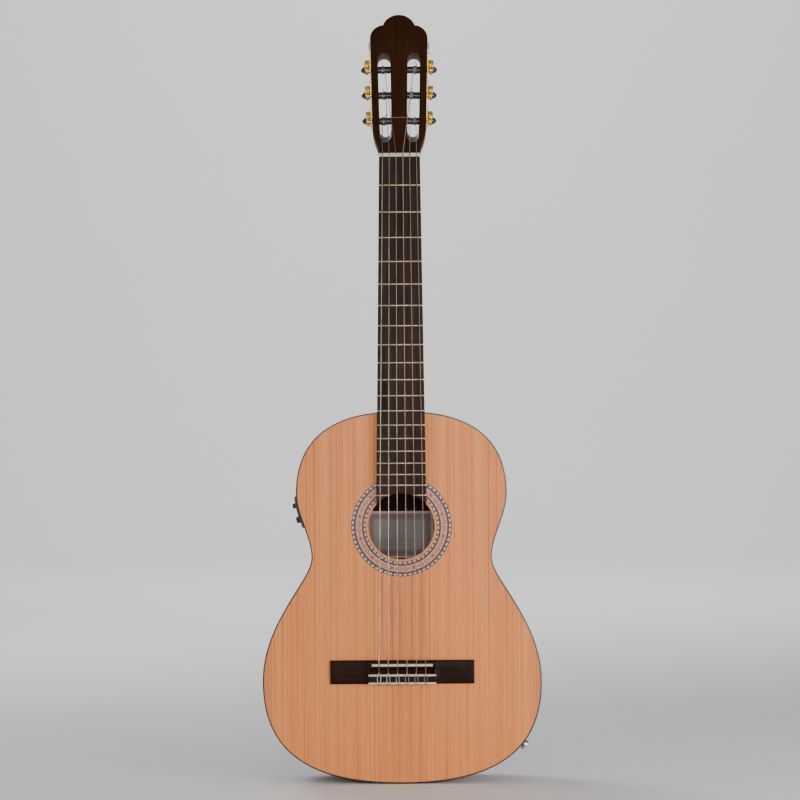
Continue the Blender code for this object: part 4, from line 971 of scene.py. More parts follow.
def label_mark(x, z, size, ink):
    """A small printed diamond."""
    across, tall = size * 0.72, size
    corners = ((across, 0), (0, tall), (-across, 0), (0, -tall))
    rings = [[on_label(x + a, z + b, lift) for a, b in corners] for lift in (0.00034, 0.00022)]
    return painted(lofted("mark", rings), ink)


def border_marks(half, upper, lower, ink):
    """Three diamonds in a row at each place round the border's middle line."""
    spots = []
    for step in range(MARKS_ACROSS + 1):
        x = -half + 2 * half * step / MARKS_ACROSS
        spots += [(x, upper), (x, lower)]
    for step in range(1, MARKS_DOWN):
        z = upper + (lower - upper) * step / MARKS_DOWN
        spots += [(-half, z), (half, z)]
    marks = []
    for x, z in spots:
        on_side = abs(abs(x) - half) < 1e-6
        for offset, size in ((-MARK_PITCH, 0.0006), (0.0, 0.0010), (MARK_PITCH, 0.0006)):
            shifted = (x + offset, z) if on_side else (x, z + offset)
            marks.append(label_mark(*shifted, size, ink))
    return marks


def make_label():
    """A paper label inside the back, under the soundhole: a plain field in an ornament border."""
    sheet_paper = paper("label_paper", srgb(240, 236, 230), srgb(222, 216, 210))
    field_paper = paper("label_field", srgb(196, 188, 180), srgb(176, 166, 158))
    ink = paper("label_ink", srgb(158, 50, 34), srgb(128, 36, 26))
    border_paper = paper("label_border", srgb(192, 168, 162), srgb(168, 144, 140))
    sheet = []
    for name, inset, lift, material in (
        ("paper", 0.0, 0.0, sheet_paper),
        ("border", LABEL_MARGIN, 0.00015, border_paper),
        ("field", LABEL_MARGIN + LABEL_BAND, 0.0002, field_paper),
    ):
        low_z, high_z = LABEL_LOW_Z + inset, LABEL_TOP_Z - inset
        sheet.append(label_panel(name, LABEL_HALF_WIDTH - inset, low_z, high_z, lift, material))
    inset = LABEL_MARGIN + LABEL_BAND / 2
    sheet += border_marks(LABEL_HALF_WIDTH - inset, LABEL_TOP_Z - inset, LABEL_LOW_Z + inset, ink)
    for z, half in ((-0.4960, 0.020), (-0.5020, 0.016)):
        sheet.append(label_panel("rule", half, z, z + 0.0003, 0.0003, ink))
    place_piece(joined("inside_label", sheet), ROOT)


def make_inside():
    """The braces, linings and blocks that show through the soundhole keep their CAD shapes."""
    woods = {
        "top_lining": SPRUCE,
        "back_lining": SPRUCE,
        "soundboard_bracing": SPRUCE,
        "back_bracing": BARE_BACK_WOOD,
        "tail_block": INNER_WOOD,
    }
    for name, wood in woods.items():
        painted(NODES[name], wood)


# ---------------------------------------------------------------- neck, heel and fingerboard
HEEL_START_Z = -0.262
HEEL_FULL_Z = -0.309
HEEL_TIP_HALF_WIDTH = 0.0125
HEEL_FADE = 0.024               # depth over which the heel narrows towards its tip
HEEL_DROP = 0.150               # how much deeper the heel is than the shaft
HEEL_CURVE = 2.4
SHAFT_DEPTH = 0.0184            # where the heel starts
SHAFT_SQUARENESS = 2.2
HEEL_CAP_THICKNESS = 0.0025
HEEL_BACK_Y = TOP_FRONT_Y + DEPTH_AT_HEEL
NECK_SIDES = 40
HEAD_ORIGIN = HEAD_FRAME.to_translation()


def board_half_width(z):
    share = z / BOARD_FULL_WIDTH_Z
    return NUT_WIDTH / 2 + (BOARD_END_WIDTH - NUT_WIDTH) / 2 * max(share, 0.0)


def neck_section(z, depth, squareness, taper):
    half_width = board_half_width(z)
    ring = []
    for step in range(NECK_SIDES + 1):
        angle = math.pi * step / NECK_SIDES
        across = math.copysign(abs(math.cos(angle)) ** (2 / squareness), math.cos(angle))
        down = depth * abs(math.sin(angle)) ** (2 / squareness)
        heel_width = HEEL_TIP_HALF_WIDTH + (half_width - HEEL_TIP_HALF_WIDTH) * math.exp(-down / HEEL_FADE)
        width = half_width * (1 - taper) + heel_width * taper
        ring.append((across * width, TOP_FRONT_Y + down, z))
    return ring


# The shaft from the head to the heel: place along it, depth and squareness.
SHAFT = (
    (0.010, 0.0210, 6.0),
    (0.000, 0.0190, 5.0),
    (-0.010, 0.0175, 3.4),
    (-0.022, 0.0166, 2.5),
    (-0.040, 0.0163, SHAFT_SQUARENESS),
    (-0.150, 0.0172, SHAFT_SQUARENESS),
    (HEEL_START_Z, SHAFT_DEPTH, SHAFT_SQUARENESS),
)


def neck_sections():
    """The CAD's sections, with more of them between."""
    sections = []
    for (z0, d0, s0), (z1, d1, s1) in zip(SHAFT, SHAFT[1:]):
        for step in range(3):
            share = step / 3
            sections.append(neck_section(
                z0 + (z1 - z0) * share, d0 + (d1 - d0) * share, s0 + (s1 - s0) * share, 0.0,
            ))
    sections.append(neck_section(*SHAFT[-1], 0.0))
    count = 26
    for step in range(1, count + 1):
        share = 1 - (1 - step / count) ** 2
        z = HEEL_START_Z + (HEEL_FULL_Z - HEEL_START_Z) * share
        drop = 1 - math.sqrt(max(0.0, 1 - share ** HEEL_CURVE))
        depth = SHAFT_DEPTH + HEEL_DROP * drop
        sections.append(neck_section(z, depth, SHAFT_SQUARENESS, min(1.0, share ** 2)))
    sections.append(neck_section(BODY_TOP_Z - 0.004, SHAFT_DEPTH + HEEL_DROP, SHAFT_SQUARENESS, 1.0))
    return sections


def neck_loft():
    body = bmesh.new()
    rows = [[body.verts.new(point) for point in section] for section in neck_sections()]
    loft(body, rows)
    bmesh.ops.recalc_face_normals(body, faces=body.faces)
    return body


def slice_off(body, point, outward):
    everything = body.verts[:] + body.edges[:] + body.faces[:]
    made = bmesh.ops.bisect_plane(
        body, geom=everything, plane_co=point, plane_no=outward, clear_outer=True, dist=1e-7
    )
    edges = [item for item in made["geom_cut"] if isinstance(item, bmesh.types.BMEdge)]
    bmesh.ops.holes_fill(body, edges=edges, sides=0)


def make_neck():
    cap_front = HEEL_BACK_Y - HEEL_CAP_THICKNESS
    body = neck_loft()
    towards_head = Vector((0.0, math.sin(HEAD_TILT), math.cos(HEAD_TILT)))
    slice_off(body, HEAD_ORIGIN, towards_head)
    slice_off(body, Vector((0.0, cap_front - 0.0001, 0.0)), Vector((0.0, 1.0, 0.0)))
    neck = object_from_bmesh("neck_shaft", body)
    outline = prism("neck_trim", [full_outline(0.0)], 0.0, 0.12)
    neck = soften(boolean(neck, outline), 40)
    place_piece(neck, ROOT, nodes=("neck",), material=NECK_WOOD)
    body = neck_loft()
    slice_off(body, Vector((0.0, HEEL_BACK_Y, 0.0)), Vector((0.0, 1.0, 0.0)))
    slice_off(body, Vector((0.0, cap_front, 0.0)), Vector((0.0, -1.0, 0.0)))
    cap = object_from_bmesh("heel_plate", body)
    outline = prism("heel_trim", [full_outline(0.0)], 0.05, 0.12)
    cap = eased(boolean(cap, outline), 0.0005)
    place_piece(cap, ROOT, nodes=("heel_cap",), material=BINDING_WOOD)
    make_neck_block()


def make_neck_block():
    """The neck's foot inside the box, seen through the soundhole."""
    inside_z = BODY_TOP_Z - SIDE_THICKNESS - 3 * GAP
    low = (-0.030, TOP_FRONT_Y + PLATE_THICKNESS + GAP, inside_z - 0.036)
    high = (0.030, HEEL_BACK_Y - PLATE_THICKNESS - GAP, inside_z - 0.0015)
    foot = eased(block("neck_foot", low, high), 0.0015, 3)
    place_piece(foot, ROOT, material=INNER_WOOD)


def fret_z(number):
    return -SCALE_LENGTH * (1 - 2 ** (-number / 12))


def make_fingerboard():
    """A flat rosewood board, its edges eased, with its end cut round the soundhole."""
    loop = [
        (board_half_width(0.0), -0.0002),
        (board_half_width(BOARD_END_Z), BOARD_END_Z),
        (-board_half_width(BOARD_END_Z), BOARD_END_Z),
        (-board_half_width(0.0), -0.0002),
    ]
    board = prism("fingerboard_plate", [loop], 0.0, BOARD_THICKNESS)
    hole = prism("board_end_hole", [circle_loop(SOUNDHOLE_RADIUS, (0.0, SOUNDHOLE_Z))], -0.01, 0.02)
    board = boolean(board, hole)
    trim = block("board_trim", (-0.05, -0.01, SOUNDHOLE_Z - 0.01), (0.05, 0.02, SOUNDHOLE_Z + 0.020))
    board = boolean(board, trim)
    board = eased(board, 0.0004, 2, 60)
    place_piece(board, ROOT, nodes=("fingerboard",), material=BOARD_WOOD)
    for number in range(1, FRET_COUNT + 1):
        make_fret(number)
    make_side_dots()


FRET_HALF_WIDTH = 0.00105
FRET_HEIGHT = 0.0010
FRET_ENDS = ((0.0, 0.35), (0.0005, 0.75), (0.0013, 1.0))     # distance in from an end, share of the height


def fret_rod(name, start_x, end_x, z):
    """A crowned fret with rounded ends, on a shallow tang."""
    under, tang_y, tang_half = 0.0002, 0.0009, 0.0003
    steps = 9
    stations = [(start_x + d, s) for d, s in FRET_ENDS]
    stations += [(end_x - d, s) for d, s in reversed(FRET_ENDS)]
    rings = []
    for x, share in stations:
        ring = []
        for step in range(steps + 1):
            angle = math.pi * step / steps
            y = under - (FRET_HEIGHT + under) * share * math.sin(angle)
            ring.append((x, y, z + FRET_HALF_WIDTH * math.cos(angle)))
        rings.append(ring + [(x, tang_y, z - tang_half), (x, tang_y, z + tang_half)])
    return lofted(name, rings, 50)


def make_fret(number):
    z = fret_z(number)
    reach = board_half_width(z) - 0.0001
    spans = [(-reach, reach)]
    rise = z - SOUNDHOLE_Z
    if rise < SOUNDHOLE_RADIUS:
        inner = math.sqrt(SOUNDHOLE_RADIUS ** 2 - rise ** 2) + 0.0003
        if inner < reach - 0.001:
            spans = [(-reach, -inner), (inner, reach)]
    pieces = [fret_rod(f"fret_{number:02d}", a, b, z) for a, b in spans]
    item = joined(f"fret_{number:02d}", pieces) if len(pieces) > 1 else pieces[0]
    item.name = f"fret_{number:02d}"
    place_piece(item, ROOT, material=FRET_METAL)


# Position dots: the fret each stands behind, and its shift along the board; two mark the twelfth.
SIDE_DOTS = ((5, 0.0), (7, 0.0), (9, 0.0), (12, 0.004), (12, -0.004))


def make_side_dots():
    """Small position dots in the board's bass edge."""
    profile = [(0.0, -0.0006), (0.0010, -0.0006), (0.0010, 0.00002), (0.0007, 0.00006), (0.0, 0.00006)]
    dots = []
    for number, shift in SIDE_DOTS:
        middle = (fret_z(number) + fret_z(number - 1)) / 2 + shift
        place = Matrix.Translation((-board_half_width(middle) + 0.00003, 0.0026, middle))
        dots.append(turned("dot", profile, place @ Matrix.Rotation(-math.pi / 2, 4, "Y"), 16))
    place_piece(joined("side_dots", dots), ROOT, material=MARK_WHITE)


# ---------------------------------------------------------------- nut, saddle and bridge
def string_offset(number, spread):
    return spread / 2 - (number - 1) * spread / 5


# The crown of a bone bar: share of the way from its front to its rear, and share of the drop there.
BAR_CROWN = ((0.0, 0.45), (0.12, 0.12), (0.30, 0.0), (0.70, 0.0), (0.88, 0.12), (1.0, 0.45))
BAR_DROP = 0.0016
GROOVE_FLARE = 1.15


def string_grooves(spread, rise, slack, lift):
    """The place, radius and floor of each string's groove in a bar."""
    return [
        (string_offset(number, spread), diameter / 2 + slack, -rise + lift)
        for number, diameter in enumerate(STRING_DIAMETERS, 1)
    ]


def slotted_bar(name, half, bar_top, front_z, rear_z, base_y, grooves, round_by):
    """A bone bar along X with a crowned top and a groove for each string."""
    count = 60
    xs = {-half, half}
    xs.update(-half + 2 * half * step / count for step in range(count + 1))
    for centre, radius, _ in grooves:
        xs.update(centre + radius * GROOVE_FLARE * step / 4 for step in range(-4, 5))
    depth = front_z - rear_z
    rings = []
    for x in sorted(xs):
        ease = min(1.0, (half - abs(x)) / round_by)
        top = bar_top + round_by * 0.6 * (1 - math.sqrt(max(0.0, 1 - (1 - ease) ** 2)))
        for centre, radius, bottom in grooves:
            share = abs(x - centre) / (radius * GROOVE_FLARE)
            if share < 1:
                top = max(top, bottom + radius * (1 - math.sqrt(1 - share ** 2)))
        ring = [(x, top + drop * BAR_DROP, front_z - depth * along) for along, drop in BAR_CROWN]
        rings.append(ring + [(x, base_y, rear_z), (x, base_y, front_z)])
    return lofted(name, rings, 40)


def make_nut():
    """The grooves carry the strings at their CAD height, so the bar stands just above it."""
    grooves = string_grooves(SPREAD_AT_NUT, STRING_RISE_AT_NUT, 0.00012, 0.00005)
    nut = slotted_bar("nut_bar", NUT_WIDTH / 2, -0.0021, 0.0046, 0.0, BOARD_THICKNESS, grooves, 0.0012)
    place_piece(nut, ROOT, nodes=("nut",), material=BONE)


def make_saddle():
    grooves = string_grooves(SPREAD_AT_SADDLE, STRING_RISE_AT_SADDLE, 0.0001, 0.0001)
    rear, front = -SCALE_LENGTH - SADDLE_THICKNESS / 2, -SCALE_LENGTH + SADDLE_THICKNESS / 2
    top, base = SADDLE_TOP_Y - 0.0004, TOP_FRONT_Y - 0.0031
    saddle = slotted_bar("saddle_bar", SADDLE_WIDTH / 2, top, front, rear, base, grooves, 0.0016)
    place_piece(saddle, ROOT, nodes=("saddle",), material=BONE)


BRIDGE_BASE_Y = TOP_FRONT_Y - 0.0001
WING_TOP_Y = TOP_FRONT_Y - 0.0038
WING_OVERLAP = 0.002            # of a wing into the block
WING_FLARE = 0.0022             # rise where a wing meets the block
WING_DOME = 0.0013
WING_END_DROP = 0.0009
BLOCK_TOP_Y = TOP_FRONT_Y - 0.0085
NOSE_RADIUS = 0.0033
BLOCK_FLAT = 0.0088             # from the block's front to the start of its fall
BLOCK_FALL = 0.0042             # length of the fall into the channel
CHANNEL_Y = TOP_FRONT_Y - 0.0034
TIE_TOP_Y = TOP_FRONT_Y - 0.0081
REBATE_Y = TIE_TOP_Y + 0.0012
REBATE_LENGTH = 0.0025
STRIP_LENGTH = 0.0024
TIE_HOLE_RADIUS = 0.0011


def bridge_wing(side):
    """A thin wing, domed from front to rear, that flares up to the block and drops at its tip."""
    inner = TIE_BLOCK_WIDTH / 2
    steps, across = 12, 10
    rings = []
    for step in range(steps + 1):
        share = step / steps
        x = side * (inner - WING_OVERLAP + (BRIDGE_WIDTH / 2 - inner + WING_OVERLAP) * share)
        end = max(0.0, (share - 0.94) / 0.06)
        top = WING_TOP_Y - WING_FLARE * math.exp(-share * 14) + WING_END_DROP * end ** 2
        ring = []
        for along in range(across + 1):
            t = along / across
            z = BRIDGE_FRONT_Z + (BRIDGE_REAR_Z - BRIDGE_FRONT_Z) * t
            ring.append((x, top + WING_DOME * abs(2 * t - 1) ** 5, z))
        rings.append(ring + [(x, BRIDGE_BASE_Y, BRIDGE_REAR_Z), (x, BRIDGE_BASE_Y, BRIDGE_FRONT_Z)])
    return lofted("wing", rings, 40)


def bridge_profile():
    """The block from front to rear: a round nose, a fall to the channel, and a rebated tie block."""
    shoulder = BLOCK_TOP_Y + NOSE_RADIUS
    profile = [(BRIDGE_FRONT_Z, BRIDGE_BASE_Y), (BRIDGE_FRONT_Z, shoulder)]
    for step in range(7):
        angle = math.pi / 2 * step / 6
        z = BRIDGE_FRONT_Z - NOSE_RADIUS * (1 - math.cos(angle))
        profile.append((z, shoulder - NOSE_RADIUS * math.sin(angle)))
    profile.append((BRIDGE_FRONT_Z - BLOCK_FLAT, BLOCK_TOP_Y))
    for step in range(1, 6):
        share = step / 5
        fall = (CHANNEL_Y - BLOCK_TOP_Y) * (3 * share ** 2 - 2 * share ** 3)
        profile.append((BRIDGE_FRONT_Z - BLOCK_FLAT - BLOCK_FALL * share, BLOCK_TOP_Y + fall))
    front_ledge, rear_ledge = TIE_FRONT_Z - REBATE_LENGTH, BRIDGE_REAR_Z + REBATE_LENGTH
    profile += [(TIE_FRONT_Z, CHANNEL_Y), (TIE_FRONT_Z, REBATE_Y)]
    profile += [(front_ledge, REBATE_Y), (front_ledge, TIE_TOP_Y)]
    profile += [(rear_ledge, TIE_TOP_Y), (rear_ledge, REBATE_Y)]
    return profile + [(BRIDGE_REAR_Z, REBATE_Y), (BRIDGE_REAR_Z, BRIDGE_BASE_Y)]


def make_bridge():
    """Thin domed wings, a rounded saddle block, and a tie block bored for the strings."""
    half = TIE_BLOCK_WIDTH / 2
    parts = [bridge_wing(-1), bridge_wing(1)]
    middle = prism("block", [bridge_profile()], -half, half, axis="X")
    slot_half = SADDLE_WIDTH / 2 + 0.0001
    slot_depth = SADDLE_THICKNESS / 2 + 0.0001
    slot = block("slot", (-slot_half, BLOCK_TOP_Y - MM, -SCALE_LENGTH - slot_depth),
                 (slot_half, TOP_FRONT_Y - 0.0028, -SCALE_LENGTH + slot_depth))
    middle = boolean(middle, slot)
    holes = []
    for number in range(1, 7):
        x = string_offset(number, SPREAD_AT_SADDLE)
        front, rear = (x, TIE_HOLE_Y, TIE_FRONT_Z + MM), (x, TIE_HOLE_Y, BRIDGE_REAR_Z - MM)
        holes.append(rod("hole", front, rear, TIE_HOLE_RADIUS, 16))
    middle = boolean(middle, joined("holes", holes))
    parts.append(eased(middle, 0.00025, 2, 50, 40))
    bridge = joined("bridge_body", parts)
    place_piece(bridge, ROOT, nodes=("bridge",), material=BRIDGE_WOOD)
    for name, low_z in (
        ("tie_block_strip_front", TIE_FRONT_Z - STRIP_LENGTH), ("tie_block_strip_rear", BRIDGE_REAR_Z),
    ):
        low = (-half, TIE_TOP_Y - 0.0003, low_z)
        strip = block(name + "_bar", low, (half, REBATE_Y - 0.00005, low_z + STRIP_LENGTH))
        place_piece(eased(strip, 0.0004, 3), ROOT, nodes=(name,), material=STRIP_BONE)


# ---------------------------------------------------------------- headstock
def head_half_width(along):
    return WAIST_HALF_WIDTH + (along - WAIST_ALONG) * math.tan(SIDE_SLOPE)


def head_outline():
    """The head seen from the front: bowed sides, round shoulders and a round crown between them."""
    start = Vector((NUT_WIDTH / 2, 0.0))
    waist = Vector((WAIST_HALF_WIDTH, WAIST_ALONG))
    flank = interpolate_bezier(start, (0.0275, 0.010), (0.0332, 0.016), waist, 24)
    half = [tuple(point[:2]) for point in flank]
    shoulder = (SHOULDER_HALF_WIDTH - SHOULDER_RADIUS, SHOULDER_ALONG)
    half += arc(shoulder, SHOULDER_RADIUS, 0.0, math.radians(86), 24)
    crown = (0.0, HEAD_LENGTH - CROWN_RADIUS)
    first = math.asin((CROWN_START - crown[1]) / CROWN_RADIUS)
    half += arc(crown, CROWN_RADIUS, first, math.pi / 2, 24)
    return half + [(-x, z) for x, z in reversed(half) if x > 1e-6]


SLOT_TOP_MIDDLE = 0.0192        # across, of the rounded end nearest the crown
SLOT_TOP_RADIUS = 0.0081
SLOT_TOP_ALONG = 0.1345
SLOT_FOOT_MIDDLE = 0.0176       # across, of the rounded end nearest the nut
SLOT_FOOT_RADIUS = 0.0076
SLOT_FOOT_ALONG = 0.0293
RAMP_ALONG = 0.0136             # where the ramp at a slot's foot comes out of the face


def slot_loop(side, steps=20):
    top = (SLOT_TOP_MIDDLE, SLOT_TOP_ALONG - SLOT_TOP_RADIUS)
    foot = (SLOT_FOOT_MIDDLE, SLOT_FOOT_ALONG + SLOT_FOOT_RADIUS)
    half = arc(top, SLOT_TOP_RADIUS, 0.0, math.pi, steps)
    half += arc(foot, SLOT_FOOT_RADIUS, math.pi, math.tau, steps)
    return [(side * across, along) for across, along in half]


def carve_slots(item, low, high):
    """Cuts both string slots, and the ramp at the foot of each."""
    ramp_depth = VENEER_THICKNESS + GAP + HEAD_CORE_THICKNESS + 1.5 * MM
    direction = Vector((0.0, ramp_depth, SLOT_FOOT_ALONG - RAMP_ALONG)).normalized()
    upward = Vector((0.0, -direction.z, direction.y))
    radius = SLOT_FOOT_RADIUS
    for side in (-1, 1):
        item = boolean(item, prism("slot", [slot_loop(side)], low - MM, high + MM))
        for lift in (radius, radius + 0.006):
            foot = Vector((side * SLOT_FOOT_MIDDLE, 0.0, RAMP_ALONG)) + upward * lift
            item = boolean(item, rod("ramp", foot - direction * 0.012, foot + direction * 0.030, radius, 48))
    return item


def make_headstock():
    front = VENEER_THICKNESS
    back = VENEER_THICKNESS + GAP + HEAD_CORE_THICKNESS
    parts = (
        ("head_veneer", "head_face", 0.0, front, HEAD_WOOD, "head_rosewood", 0.0003),
        ("headstock", "head_core", front, back, HEAD_CORE_WOOD, "mahogany_neck", 0.0008),
    )
    for node, name, low, high, material, slot, edge in parts:
        piece = carve_slots(prism(name, [head_outline()], low, high), low, high)
        if node == "headstock":
            for side in (-1, 1):
                for row in (-1, 0, 1):
                    inner = machine_point(side, -0.0321, 0.0, row * ROLLER_PITCH)
                    outer = machine_point(side, 0.004, 0.0, row * ROLLER_PITCH)
                    piece = boolean(piece, rod("roller_hole", inner, outer, ROLLER_RADIUS + GAP, 32))
        piece = eased(piece, edge, 2, 60, 40)
        piece.name = name
        piece.matrix_world = HEAD_FRAME
        place_piece(piece, ROOT, nodes=(node,), material=material)


def machine_place(side):
    centre = Vector((side * head_half_width(MIDDLE_ROLLER_ALONG), ROLLER_DEPTH, MIDDLE_ROLLER_ALONG))
    return Matrix.Translation(centre) @ Matrix.Rotation(side * SIDE_SLOPE, 4, "Y")


def machine_point(side, out, back, along):
    return machine_place(side) @ Vector((side * out, back, along))


def machine_row(number):
    return number - 2 if number <= 3 else 5 - number


# ---------------------------------------------------------------- machine heads
PLATE_THICKNESS_METAL = 0.0012
BEARING_RADIUS = 0.0033
LUG_HALF_WIDTH = 0.0029
LUG_REACH = 0.0084
LUG_FACE = 0.0052
LUG_LENGTH = 0.0028
BUTTON_START = 0.0138
BUTTON_LENGTH = 0.0135
PLATE_FOOT = -0.0440
PLATE_TIP = 0.0740


PLATE_HALF_WIDTH = 0.0085
PLATE_BEADS = 34                # scallops along each long edge
BEAD_DEPTH = 0.00055
PLATE_EYE_RADIUS = 0.0050


def plate_loop():
    """A side plate in (along, back): square foot, scalloped long edges and a lyre tip."""
    half = PLATE_HALF_WIDTH
    edge = []
    start, stop = PLATE_FOOT + 0.002, PLATE_TIP - 0.0135
    steps = PLATE_BEADS * 4
    for step in range(steps + 1):
        along = start + (stop - start) * step / steps
        edge.append((along, half - BEAD_DEPTH + BEAD_DEPTH * abs(math.sin(math.pi * step / 4))))
    neck = [(PLATE_TIP - 0.0110, 0.0062), (PLATE_TIP - 0.0090, 0.0050), (PLATE_TIP - 0.0080, 0.0052)]
    eye = arc((PLATE_TIP - PLATE_EYE_RADIUS, 0.0), PLATE_EYE_RADIUS, math.radians(110), 0.0, 12)
    upper = [(PLATE_FOOT, half - 0.002), *edge, *neck, *eye]
    return upper + [(a, -b) for a, b in reversed(upper) if abs(b) > 1e-6]


def make_plate(side, name):
    """A side plate with three bearings, two lugs for each worm, four screws and a boss on its tip."""
    outer = GAP + PLATE_THICKNESS_METAL
    ends = sorted((side * GAP, side * outer))
    plate = prism(name, [plate_loop()], ends[0], ends[1], axis="X")
    for row in (-1, 0, 1):
        along = row * ROLLER_PITCH
        bearing = rod("bearing", (-side * MM, 0, along), (side * 3 * MM, 0, along), BEARING_RADIUS, 32)
        plate = boolean(plate, bearing)
    parts = [eased(plate, 0.0002, 2, 50)]
    for row in (-1, 0, 1):
        for start in (-LUG_FACE - LUG_LENGTH, LUG_FACE):
            parts.append(make_lug(side, start, row * ROLLER_PITCH + WORM_OFFSET))
    for along in (PLATE_FOOT + 0.0035, -0.5 * ROLLER_PITCH, 0.5 * ROLLER_PITCH + 0.0018, PLATE_TIP - 0.0160):
        parts.append(make_screw(side, outer, 0.0, along))
    parts.append(make_boss(side, outer, 0.0, PLATE_TIP - PLATE_EYE_RADIUS))
    item = joined(name, parts)
    item.matrix_world = HEAD_FRAME @ machine_place(side)
    node = "tuner_plate_bass" if side < 0 else "tuner_plate_treble"
    place_piece(item, ROOT, nodes=(node,))


def make_lug(side, start, middle):
    """A bearing post for the worm, with a round top."""
    half, foot = LUG_HALF_WIDTH, 0.0009
    loop = arc((middle, LUG_REACH - half), half, 0.0, math.pi, 16)
    loop += [(middle - half, foot), (middle + half, foot)]
    end = start + LUG_LENGTH
    lug = lofted("lug", [[(side * out, y, along) for along, out in loop] for y in (start, end)])
    x, bore = side * GEAR_OUT, WORM_SHAFT_RADIUS + GAP
    lug = boolean(lug, rod("lug_bore", (x, start - MM, middle), (x, end + MM, middle), bore, 24))
    return painted(eased(lug, 0.00025, 2, 50), GOLD)


def outward(side, out, back, along):
    turn = Matrix.Rotation(side * math.pi / 2, 4, "Y")
    return Matrix.Translation((side * out, back, along)) @ turn


SCREW_RADIUS = 0.0022
SCREW_HEIGHT = 0.0009


def make_screw(side, out, back, along):
    """A round head with a slot across it."""
    radius, height = SCREW_RADIUS, SCREW_HEIGHT
    profile = [(0.0, -0.0004), (radius, -0.0004), (radius, height * 0.25)]
    for step in range(1, 6):
        angle = math.pi / 2 * step / 5
        profile.append((radius * math.cos(angle), height * (0.25 + 0.75 * math.sin(angle))))
    screw = turned("screw", profile, Matrix.Identity(4), 24)
    slot = block("screw_slot", (-0.003, -0.0003, height * 0.55), (0.003, 0.0003, height + MM))
    screw = boolean(screw, slot)
    screw.matrix_world = outward(side, out, back, along) @ Matrix.Rotation(along * 400, 4, "Z")
    return soften(painted(screw, STEEL), 30)


def make_boss(side, out, back, along):
    """A raised button on the plate's tip."""
    radius = 0.0021
    profile = [(0.0, -0.0003), (radius, -0.0003), (radius, 0.0002), (radius * 0.8, 0.0006), (0.0, 0.0008)]
    return painted(turned("boss", profile, outward(side, out, back, along), 24), GOLD)


def side_of(number):
    """1 for the treble side's three strings and -1 for the bass side's."""
    return 1 if number <= 3 else -1


def roller_frame(number):
    along = Matrix.Translation((0.0, 0.0, machine_row(number) * ROLLER_PITCH))
    return HEAD_FRAME @ machine_place(side_of(number)) @ along


def make_roller(number):
    """A black barrel with end collars, on a steel journal that reaches through its gear."""
    far, near = -0.0312, -0.0004
    collar, groove = ROLLER_RADIUS, ROLLER_RADIUS - 0.0003
    barrel = [
        (0.0, far), (collar - 0.0004, far), (collar, -0.0308), (collar, -0.0296), (groove, -0.0294),
        (groove, -0.0022), (collar, -0.0020), (collar, -0.0006), (collar - 0.0002, near), (0.0, near),
    ]
    hub, pin = 0.0029, 0.0018
    step_out = GEAR_OUT - GEAR_WIDTH / 2 - 0.0004
    end = GEAR_OUT - GEAR_WIDTH / 2 + GEAR_WIDTH - 0.0001
    peg = [(0.0, -0.0006), (hub, -0.0006), (hub, step_out), (pin, step_out), (pin, end), (0.0, end)]
    drum = painted(turned("drum", barrel, Matrix.Identity(4), 40), ROLLER_BLACK)
    journal = painted(turned("journal", peg, Matrix.Identity(4), 32), STEEL)
    item = joined(f"roller_{number}", [drum, journal])
    item.matrix_world = roller_frame(number) @ Matrix.Rotation(side_of(number) * math.pi / 2, 4, "Y")
    place_piece(item, f"string_roller_{number}", nodes=(f"tuner_roller_{number}",))


GEAR_ROOT_RADIUS = 0.0047
GEAR_TIP_RADIUS = 0.0061
GEAR_BORE_RADIUS = 0.0020
GEAR_PITCH_RADIUS = 0.0057
WORM_PITCH_RADIUS = 0.0026
# The gear's section from face to face: share of its half width, change of radius, and which radius.
GEAR_STATIONS = (
    (-1.0, -0.0002, "tooth"),
    (-0.86, 0.0, "tooth"),
    (0.86, 0.0, "tooth"),
    (1.0, -0.0002, "tooth"),
    (1.0, -0.0012, "root"),
    (0.80, -0.0016, "root"),
    (0.80, 0.0, "bore"),
    (-1.0, 0.0, "bore"),
)


def gear_radius(kind, phase):
    """The radius at a share of the way from one gap's middle (-0.5) to the next one's (0.5)."""
    if kind == "bore":
        return GEAR_BORE_RADIUS
    if kind == "root":
        return GEAR_ROOT_RADIUS
    lift = min(1.0, max(0.0, (0.42 - abs(phase)) / 0.20))
    lift = lift * lift * (3 - 2 * lift)
    return GEAR_ROOT_RADIUS + (GEAR_TIP_RADIUS - GEAR_ROOT_RADIUS) * lift


def make_gear(number):
    """A helical gear with rounded teeth, a dished face and a screw in the middle."""
    side = side_of(number)
    twist = math.atan2(WORM_LEAD, math.tau * WORM_PITCH_RADIUS) * (GEAR_WIDTH / 2) / GEAR_PITCH_RADIUS
    per_tooth = 10
    count = GEAR_TEETH * per_tooth
    rings = []
    for place, trim, kind in GEAR_STATIONS:
        out = GEAR_OUT + place * GEAR_WIDTH / 2
        ring = []
        for step in range(count):
            angle = math.tau * step / count - place * twist
            radius = gear_radius(kind, (step % per_tooth) / per_tooth - 0.5) + trim
            ring.append((side * out, -radius * math.sin(angle), radius * math.cos(angle)))
        rings.append(ring)
    gear = painted(lofted("gear", rings, 30, closed=True), GOLD)
    screw = make_screw(side, GEAR_OUT + GEAR_WIDTH * 0.4, 0.0, 0.0)
    item = joined(f"gear_{number}", [gear, screw])
    item.matrix_world = roller_frame(number)
    place_piece(item, f"string_roller_{number}", nodes=(f"tuner_gear_{number}",))


WORM_ROOT_RADIUS = 0.0019
WORM_CREST_RADIUS = 0.0032
WORM_REACH = 0.0042             # half the thread's length
WORM_SHAFT_RADIUS = 0.0016


